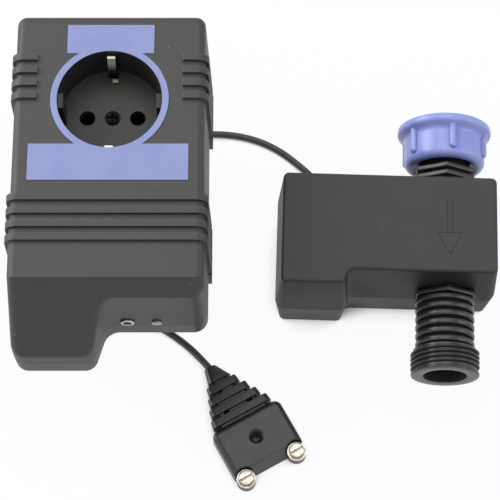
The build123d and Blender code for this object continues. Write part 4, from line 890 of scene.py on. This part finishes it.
def drawOutline(name, outline):
    # The outline is a row of (along, radius) points: one vertex is extruded from each to the next
    toObjectMode()
    bpy.ops.mesh.primitive_plane_add(size=mm, location=(0, 0, 0))
    piece = bpy.context.object
    piece.name = name
    bpy.ops.object.mode_set(mode="EDIT")
    bpy.ops.mesh.select_mode(type="VERT")
    bpy.ops.mesh.select_all(action="SELECT")
    bpy.ops.mesh.merge(type="CENTER")
    along, radius = outline[0]
    bpy.ops.transform.translate(value=(radius * mm, along * mm, 0))
    for nextAlong, nextRadius in outline[1:] + outline[:1]:
        step = ((nextRadius - radius) * mm, (nextAlong - along) * mm, 0)
        bpy.ops.mesh.extrude_region_move(TRANSFORM_OT_translate={"value": step})
        along, radius = nextAlong, nextRadius
    bpy.ops.mesh.select_all(action="SELECT")
    bpy.ops.mesh.remove_doubles(threshold=0.001 * mm)
    return piece


def spinOutline(name, outline):
    piece = drawOutline(name, outline)
    bpy.ops.mesh.select_all(action="SELECT")
    bpy.ops.mesh.spin(steps=valve["steps"], angle=2 * math.pi, center=(0, 0, 0), axis=(0, 1, 0))
    bpy.ops.mesh.select_all(action="SELECT")
    bpy.ops.mesh.remove_doubles(threshold=0.002 * mm)
    bpy.ops.mesh.normals_make_consistent(inside=False)
    bpy.ops.object.mode_set(mode="OBJECT")
    return piece


def finishPiece(piece, material, body, edgeAngle=valve["sharp"]):
    # To the valve's place, smooth but for its sharp edges, and onto its body
    flowTurn = Matrix.Rotation(math.radians(valve["turn"]), 4, "Z")
    piece.matrix_world = Matrix.Translation(Vector(valve["place"]) * mm) @ flowTurn
    applyPlace(piece)
    bpy.ops.object.shade_smooth_by_angle(angle=math.radians(edgeAngle))
    dress(piece, material)
    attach(piece, body)


# Outlet: threaded end and ringed neck, turned in one outline. The lip's points lie along the flow and below
# the crest, a ring's are shares of its half width and height, and the ends of the painted shade in the
# grooves are radii
outlet = {
    "end": 33.4,
    "bore": 8.1,
    "boreEdge": 0.6,
    "lip": ((0.0, 0.6), (0.1, 0.3), (0.35, 0.12), (0.8, 0.12)),
    "threadStart": 1.3,
    "threadLength": 10.6,
    "threadRoot": 12.1,
    "threadCrest": 13.2,
    "shoulderLength": 0.5,
    "shoulderDepth": 0.6,
    "neckLead": 0.25,
    "neck": 9.3,
    "ring": 11.35,
    "ringWidth": 2.1,
    "ringFirst": 12.2,
    "ringPitch": 3.4,
    "ringCount": 6,
    "ringShape": ((1.0, 0.0), (1.0, 0.8), (0.8, 0.94), (0.45, 1.0)),
    "shadeFull": 10.4,
    "shadeStart": 10.9,
}
outline = [
    (outlet["end"], outlet["bore"]),
    (outlet["boreEdge"], outlet["bore"]),
    (outlet["boreEdge"] / 4, outlet["bore"] + outlet["boreEdge"] / 4),
    (0.0, outlet["bore"] + outlet["boreEdge"]),
    *((along, outlet["threadCrest"] - drop) for along, drop in outlet["lip"]),
    (outlet["threadStart"], outlet["threadRoot"]),
    (outlet["threadLength"] - outlet["shoulderLength"], outlet["threadRoot"]),
    (outlet["threadLength"], outlet["threadRoot"] - outlet["shoulderDepth"]),
    (outlet["threadLength"] + outlet["neckLead"], outlet["neck"]),
]
for n in range(outlet["ringCount"]):
    middle = outlet["ringFirst"] + n * outlet["ringPitch"]
    half = outlet["ringWidth"] / 2
    height = outlet["ring"] - outlet["neck"]
    near = [(middle - half * wide, outlet["neck"] + height * high) for wide, high in outlet["ringShape"]]
    outline += near + [(2 * middle - along, radius) for along, radius in reversed(near)]
outline.append((outlet["end"], outlet["neck"]))
outletTail = spinOutline("outletTail", outline)
ringedLook = groovedPolyamide("ringedPolyamide", outlet["shadeFull"], outlet["shadeStart"])
finishPiece(outletTail, ringedLook, "detector")
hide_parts("valve_body")

# Pipe thread: one ridge, swept round and along by a screw, its two ends closed
thread = {
    "pitch": 1.814,
    "turns": 4.0,
    "start": 2.2,
    "sink": 0.1,
    "rootHalf": 0.8,
    "crestHalf": 0.16,
    "steps": 288,
    "sharp": 30.0,
    "shadeFull": 12.5,
    "shadeStart": 13.1,
}
ridge = [
    (thread["start"] - thread["rootHalf"], outlet["threadRoot"] - thread["sink"]),
    (thread["start"] - thread["crestHalf"], outlet["threadCrest"]),
    (thread["start"] + thread["crestHalf"], outlet["threadCrest"]),
    (thread["start"] + thread["rootHalf"], outlet["threadRoot"] - thread["sink"]),
]
pipeThread = drawOutline("pipeThread", ridge)
useModifier(
    pipeThread, "SCREW", axis="Y", angle=2 * math.pi * thread["turns"], iterations=1,
    screw_offset=thread["pitch"] * thread["turns"] * mm, steps=thread["steps"],
    render_steps=thread["steps"],
)
bpy.ops.object.mode_set(mode="EDIT")
bpy.ops.mesh.select_all(action="SELECT")
bpy.ops.mesh.remove_doubles(threshold=0.001 * mm)
bpy.ops.mesh.select_all(action="DESELECT")
bpy.ops.mesh.select_mode(type="EDGE")
bpy.ops.mesh.select_non_manifold()
bpy.ops.mesh.fill_holes(sides=8)
bpy.ops.mesh.select_all(action="SELECT")
bpy.ops.mesh.normals_make_consistent(inside=False)
bpy.ops.object.mode_set(mode="OBJECT")
# The thread starts on the underside
pipeThread.rotation_euler = (0, math.pi / 2, 0)
applyPlace(pipeThread)
# Painted shade in the thread's grooves, between these radii
threadLook = groovedPolyamide("threadedPolyamide", thread["shadeFull"], thread["shadeStart"])
finishPiece(pipeThread, threadLook, "detector", thread["sharp"])
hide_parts("valve_body")

# Hexagons for the spanner: one before the box, two behind it, their edges rounded and both faces sunk
hexagon = {
    "corner": 12.98,
    "edge": 0.35,
    "edgeSteps": 3,
    "edgeOver": 25.0,
    "web": 1.6,
    "webDepth": 0.25,
    "plates": {
        "outletHexagon": (30.6, 1.8),
        "inletHexagonNear": (78.4, 2.0),
        "inletHexagonFar": (81.6, 2.0),
    },
}
for name, (start, depth) in hexagon["plates"].items():
    toObjectMode()
    bpy.ops.mesh.primitive_cylinder_add(
        vertices=6, radius=hexagon["corner"] * mm, depth=depth * mm,
        location=(0, (start + depth / 2) * mm, 0), rotation=(math.pi / 2, 0, 0),
    )
    plate = bpy.context.object
    plate.name = name
    applyPlace(plate)
    bpy.ops.object.mode_set(mode="EDIT")
    bpy.ops.mesh.select_mode(type="FACE")
    bpy.ops.mesh.select_all(action="DESELECT")
    bpy.ops.object.mode_set(mode="OBJECT")
    for face in plate.data.polygons:
        face.select = abs(face.normal.y) > 0.9
    bpy.ops.object.mode_set(mode="EDIT")
    bpy.ops.mesh.inset(thickness=hexagon["web"] * mm, depth=-hexagon["webDepth"] * mm)
    bpy.ops.object.mode_set(mode="OBJECT")
    useModifier(
        plate, "BEVEL", width=hexagon["edge"] * mm, segments=hexagon["edgeSteps"], limit_method="ANGLE",
        angle_limit=math.radians(hexagon["edgeOver"]),
    )
    finishPiece(plate, slotLook["port_plastic"], "detector")
    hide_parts("valve_body")

# Inlet: tube out of the box, groove between the hexagons, nipple and the flange that holds the nut
inlet = {
    "start": 73.9,
    "tube": 10.3,
    "tubeEnd": 78.6,
    "groove": 9.6,
    "grooveEnd": 82.0,
    "nipple": 9.4,
    "nippleStart": 82.4,
    "nippleEnd": 87.8,
    "flange": 11.3,
    "flangeStart": 88.1,
    "flangeRound": 0.4,
    "bore": 7.0,
    "boreEdge": 0.5,
    "end": 91.0,
}
flangeTop = inlet["flange"] - inlet["flangeRound"]
outline = [
    (inlet["start"], inlet["bore"]),
    (inlet["start"], inlet["tube"]),
    (inlet["tubeEnd"], inlet["tube"]),
    (inlet["tubeEnd"], inlet["groove"]),
    (inlet["grooveEnd"], inlet["groove"]),
    (inlet["nippleStart"], inlet["nipple"]),
    (inlet["nippleEnd"], inlet["nipple"]),
    *arcPoints(inlet["flangeStart"] + inlet["flangeRound"], flangeTop, inlet["flangeRound"], 180, 90, 3),
    *arcPoints(inlet["end"] - inlet["flangeRound"], flangeTop, inlet["flangeRound"], 90, 0, 3),
    (inlet["end"], inlet["bore"] + inlet["boreEdge"]),
    (inlet["end"] - inlet["boreEdge"], inlet["bore"]),
]
inletNipple = spinOutline("inletNipple", outline)
finishPiece(inletNipple, slotLook["port_plastic"], "detector")
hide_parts("valve_body")

# Chamber inside the box: the CAD body between the two ends, cut off flat where the new ends begin
toObjectMode()
chamber = nodes["valve_body"].copy()
chamber.data = nodes["valve_body"].data.copy()
chamber.name = "valveChamber"
bpy.context.scene.collection.objects.link(chamber)
chamber.hide_render = False
chamber.hide_viewport = False
pickOnly(chamber)
bpy.ops.object.mode_set(mode="EDIT")
bpy.ops.mesh.select_all(action="SELECT")
bpy.ops.mesh.remove_doubles(threshold=0.001 * mm)
turn = math.radians(valve["turn"])
flow = Vector((-math.sin(turn), math.cos(turn), 0))
for along, keepFar in ((outlet["end"], True), (inlet["start"], False)):
    bpy.ops.mesh.select_all(action="SELECT")
    bpy.ops.mesh.bisect(
        plane_co=(Vector(valve["place"]) + flow * along) * mm, plane_no=flow, use_fill=True,
        clear_inner=keepFar, clear_outer=not keepFar,
    )
bpy.ops.object.mode_set(mode="OBJECT")
bpy.ops.object.shade_smooth_by_angle(angle=math.radians(valve["sharp"]))
dress(chamber, slotLook["port_plastic"])
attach(chamber, "detector")
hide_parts("valve_body")
print("valve body modelled")

# Union nut: a turned shell with a funnel mouth, a round shoulder and a rolled flange, and six finger ribs
nut = {
    "start": 85.0,
    "end": 102.0,
    "skirt": 15.85,
    "shoulder": 2.9,
    "mouth": 12.6,
    "mouthRound": 0.5,
    "collar": 9.75,
    "collarStart": 86.9,
    "collarEnd": 87.9,
    "seatBore": 11.7,
    "threadBore": 12.1,
    "threadStart": 93.0,
    "leadWidth": 1.2,
    "leadDepth": 1.0,
    "flangeStart": 98.2,
    "flange": 18.5,
    "flangeRound": 1.7,
    "flangeFillet": 2.6,
    "flangeEdge": 1.2,
    "ribWidth": 3.1,
    "ribStart": 87.9,
    "ribLength": 9.6,
    "ribProud": 1.45,
    "ribTurn": 7.0,
    "ribCount": 6,
    "ribSegments": 24,
    "ribRings": 16,
    "sharp": 40.0,
}
shoulder, fillet, roll, rim = nut["shoulder"], nut["flangeFillet"], nut["flangeRound"], nut["flangeEdge"]
outline = [
    (nut["collarEnd"], nut["collar"]),
    (nut["collarStart"], nut["collar"]),
    (nut["start"] + nut["mouthRound"], nut["mouth"] - nut["mouthRound"]),
    (nut["start"] + 0.3 * nut["mouthRound"], nut["mouth"] - 0.3 * nut["mouthRound"]),
    *arcPoints(nut["start"] + shoulder, nut["skirt"] - shoulder, shoulder, 180, 90, 8),
    *arcPoints(nut["flangeStart"] - fillet, nut["skirt"] + fillet, fillet, -90, -30, 6),
    *arcPoints(nut["flangeStart"] + roll, nut["flange"] - roll, roll, 150, 90, 5),
    *arcPoints(nut["end"] - rim, nut["flange"] - rim, rim, 90, 0, 5),
    (nut["end"], nut["threadBore"] + nut["leadWidth"]),
    (nut["end"] - nut["leadDepth"], nut["threadBore"]),
    (nut["threadStart"], nut["threadBore"]),
    (nut["threadStart"], nut["seatBore"]),
    (nut["collarEnd"], nut["seatBore"]),
]
unionNut = spinOutline("unionNutShell", outline)

# A rib is a ball drawn out along the nut, half sunk in the skirt
toObjectMode()
half = nut["ribWidth"] / 2
bpy.ops.mesh.primitive_uv_sphere_add(
    segments=nut["ribSegments"], ring_count=nut["ribRings"], radius=half * mm,
    location=(0, 0, 0), rotation=(math.pi / 2, 0, 0),
)
firstRib = bpy.context.object
applyPlace(firstRib)
editPoints(firstRib, lambda co: co.y > 0.01 * mm)
bpy.ops.transform.translate(value=(0, nut["ribLength"] * mm, 0))
bpy.ops.object.mode_set(mode="OBJECT")
ribs = []
for n in range(nut["ribCount"]):
    rib = firstRib.copy()
    rib.data = firstRib.data.copy()
    bpy.context.scene.collection.objects.link(rib)
    around = Matrix.Rotation(math.radians(nut["ribTurn"] + n * 360 / nut["ribCount"]), 4, "Y")
    out = nut["skirt"] + nut["ribProud"] - half
    rib.matrix_world = around @ Matrix.Translation(Vector((0, nut["ribStart"] + half, out)) * mm)
    applyPlace(rib)
    ribs.append(rib)
bpy.data.objects.remove(firstRib)
toObjectMode()
for piece in [*ribs, unionNut]:
    piece.select_set(True)
bpy.context.view_layer.objects.active = unionNut
bpy.ops.object.join()
finishPiece(unionNut, slotLook["nut_plastic"], "nut", nut["sharp"])
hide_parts("union_nut")
print("union nut modelled")

# Earth tongue: the bent end of the clip's strip on the floor of the well, its outer edge lifted
tongue = {
    "place": (0.7, 15.4, 66.2),
    "size": (2.4, 1.6, 0.5),
    "edge": 0.18,
    "edgeSteps": 3,
    "rise": 0.3,
    "sharp": 35.0,
}
toObjectMode()
bpy.ops.mesh.primitive_cube_add(size=mm, location=Vector(tongue["place"]) * mm)
earthTongue = bpy.context.object
earthTongue.name = "earthTongue"
earthTongue.scale = tongue["size"]
applyPlace(earthTongue)
middle = Vector(tongue["place"]) * mm
editPoints(earthTongue, lambda co: co.y > middle.y and co.z > middle.z)
bpy.ops.transform.translate(value=(0, 0, tongue["rise"] * mm))
bpy.ops.object.mode_set(mode="OBJECT")
useModifier(earthTongue, "BEVEL", width=tongue["edge"] * mm, segments=tongue["edgeSteps"])
bpy.ops.object.shade_smooth_by_angle(angle=math.radians(tongue["sharp"]))
dress(earthTongue, platedMetal("agedTin"))
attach(earthTongue, "detector")
print("earth tongue modelled")

# Floor and light: white paper, softboxes overhead, at both sides and low at the left
backdrop = {
    "width": 6,
    "paper": "#f2f2f2",
    "fibre": "#f5f5f5",
    "whiteShare": 0.94,
    "shadowReach": 12.0,
    "skyForView": 1.0,
    "skyForLight": 0.42,
}
toObjectMode()
bpy.ops.mesh.primitive_plane_add(size=backdrop["width"], location=(0, 0, 0))
floor = bpy.context.object
floor.name = "floor"


def whiteRays(tree):
    # 1 for what the viewer sees directly, in gloss or through glass
    rays = addNode(tree, "ShaderNodeLightPath").outputs
    seen = rays["Is Camera Ray"]
    for other in ("Is Glossy Ray", "Is Transmission Ray"):
        either = addNode(tree, "ShaderNodeMath", {"operation": "MAXIMUM"}, {0: seen, 1: rays[other]})
        seen = either.outputs[0]
    return seen


def floorPaper():
    # White seamless paper: in view nearly all its brightness is its own, so it stays white
    material, tree, shader, place = newMaterial("whiteSeamlessPaper", backdrop["paper"], 0.9)
    fibre = addNode(tree, "ShaderNodeTexNoise", {"Scale": 1000 / 2.0, "Detail": 2.0}, {"Vector": place})
    tone = addNode(
        tree, "ShaderNodeMix",
        {"data_type": "RGBA", 6: srgb(backdrop["paper"]), 7: srgb(backdrop["fibre"])},
        {0: fibre.outputs["Fac"]},
    )
    # Close under the object the paper is as dark as its shadow makes it
    around = addNode(
        tree, "ShaderNodeAmbientOcclusion", {"samples": 8, "Distance": backdrop["shadowReach"] * mm}
    )
    clear = addNode(
        tree, "ShaderNodeMapRange", {"From Min": 0.3, "From Max": 0.6, "To Max": backdrop["whiteShare"]},
        {"Value": around.outputs["AO"]},
    )
    share = addNode(
        tree, "ShaderNodeMath", {"operation": "MULTIPLY"}, {0: clear.outputs[0], 1: whiteRays(tree)}
    )
    glow = addNode(tree, "ShaderNodeEmission", {"Color": (1, 1, 1, 1), "Strength": 1.0})
    mix = addNode(
        tree, "ShaderNodeMixShader", links={0: share.outputs[0], 1: shader.outputs[0], 2: glow.outputs[0]}
    )
    tree.links.new(mix.outputs[0], tree.nodes["Material Output"].inputs["Surface"])
    feedShader(tree, shader, tone.outputs[2])
    return material


floor.data.materials.append(floorPaper())
world = bpy.data.worlds.new("studio")
bpy.context.scene.world = world
world.use_nodes = True
sky = world.node_tree.nodes["Background"]
sky.inputs["Color"].default_value = (1, 1, 1, 1)
skyLevel = addNode(
    world.node_tree, "ShaderNodeMapRange",
    {"To Min": backdrop["skyForLight"], "To Max": backdrop["skyForView"]},
    {"Value": whiteRays(world.node_tree)},
)
world.node_tree.links.new(skyLevel.outputs[0], sky.inputs["Strength"])

# Places and sizes in metres, power in watts
lampTarget = Vector((0.05, -0.03, 0.03))
lamps = {
    "topSoftbox": {"place": (0.05, 0.3, 1.1), "size": 0.8, "power": 3.8},
    "leftSoftbox": {"place": (-0.74, 0.44, 0.6), "size": 0.6, "power": 6.5},
    "rightSoftbox": {"place": (1.0, -0.1, 0.5), "size": 0.5, "power": 2.0},
    "lowLeftSoftbox": {"place": (-0.9, -0.05, 0.2), "size": 0.4, "power": 3.0},
}
for name, lamp in lamps.items():
    bpy.ops.object.light_add(type="AREA", location=lamp["place"])
    light = bpy.context.object
    light.name = name
    light.data.size = lamp["size"]
    light.data.energy = lamp["power"]
    light.rotation_euler = (lampTarget - Vector(lamp["place"])).to_track_quat("-Z", "Y").to_euler()
print("light set")
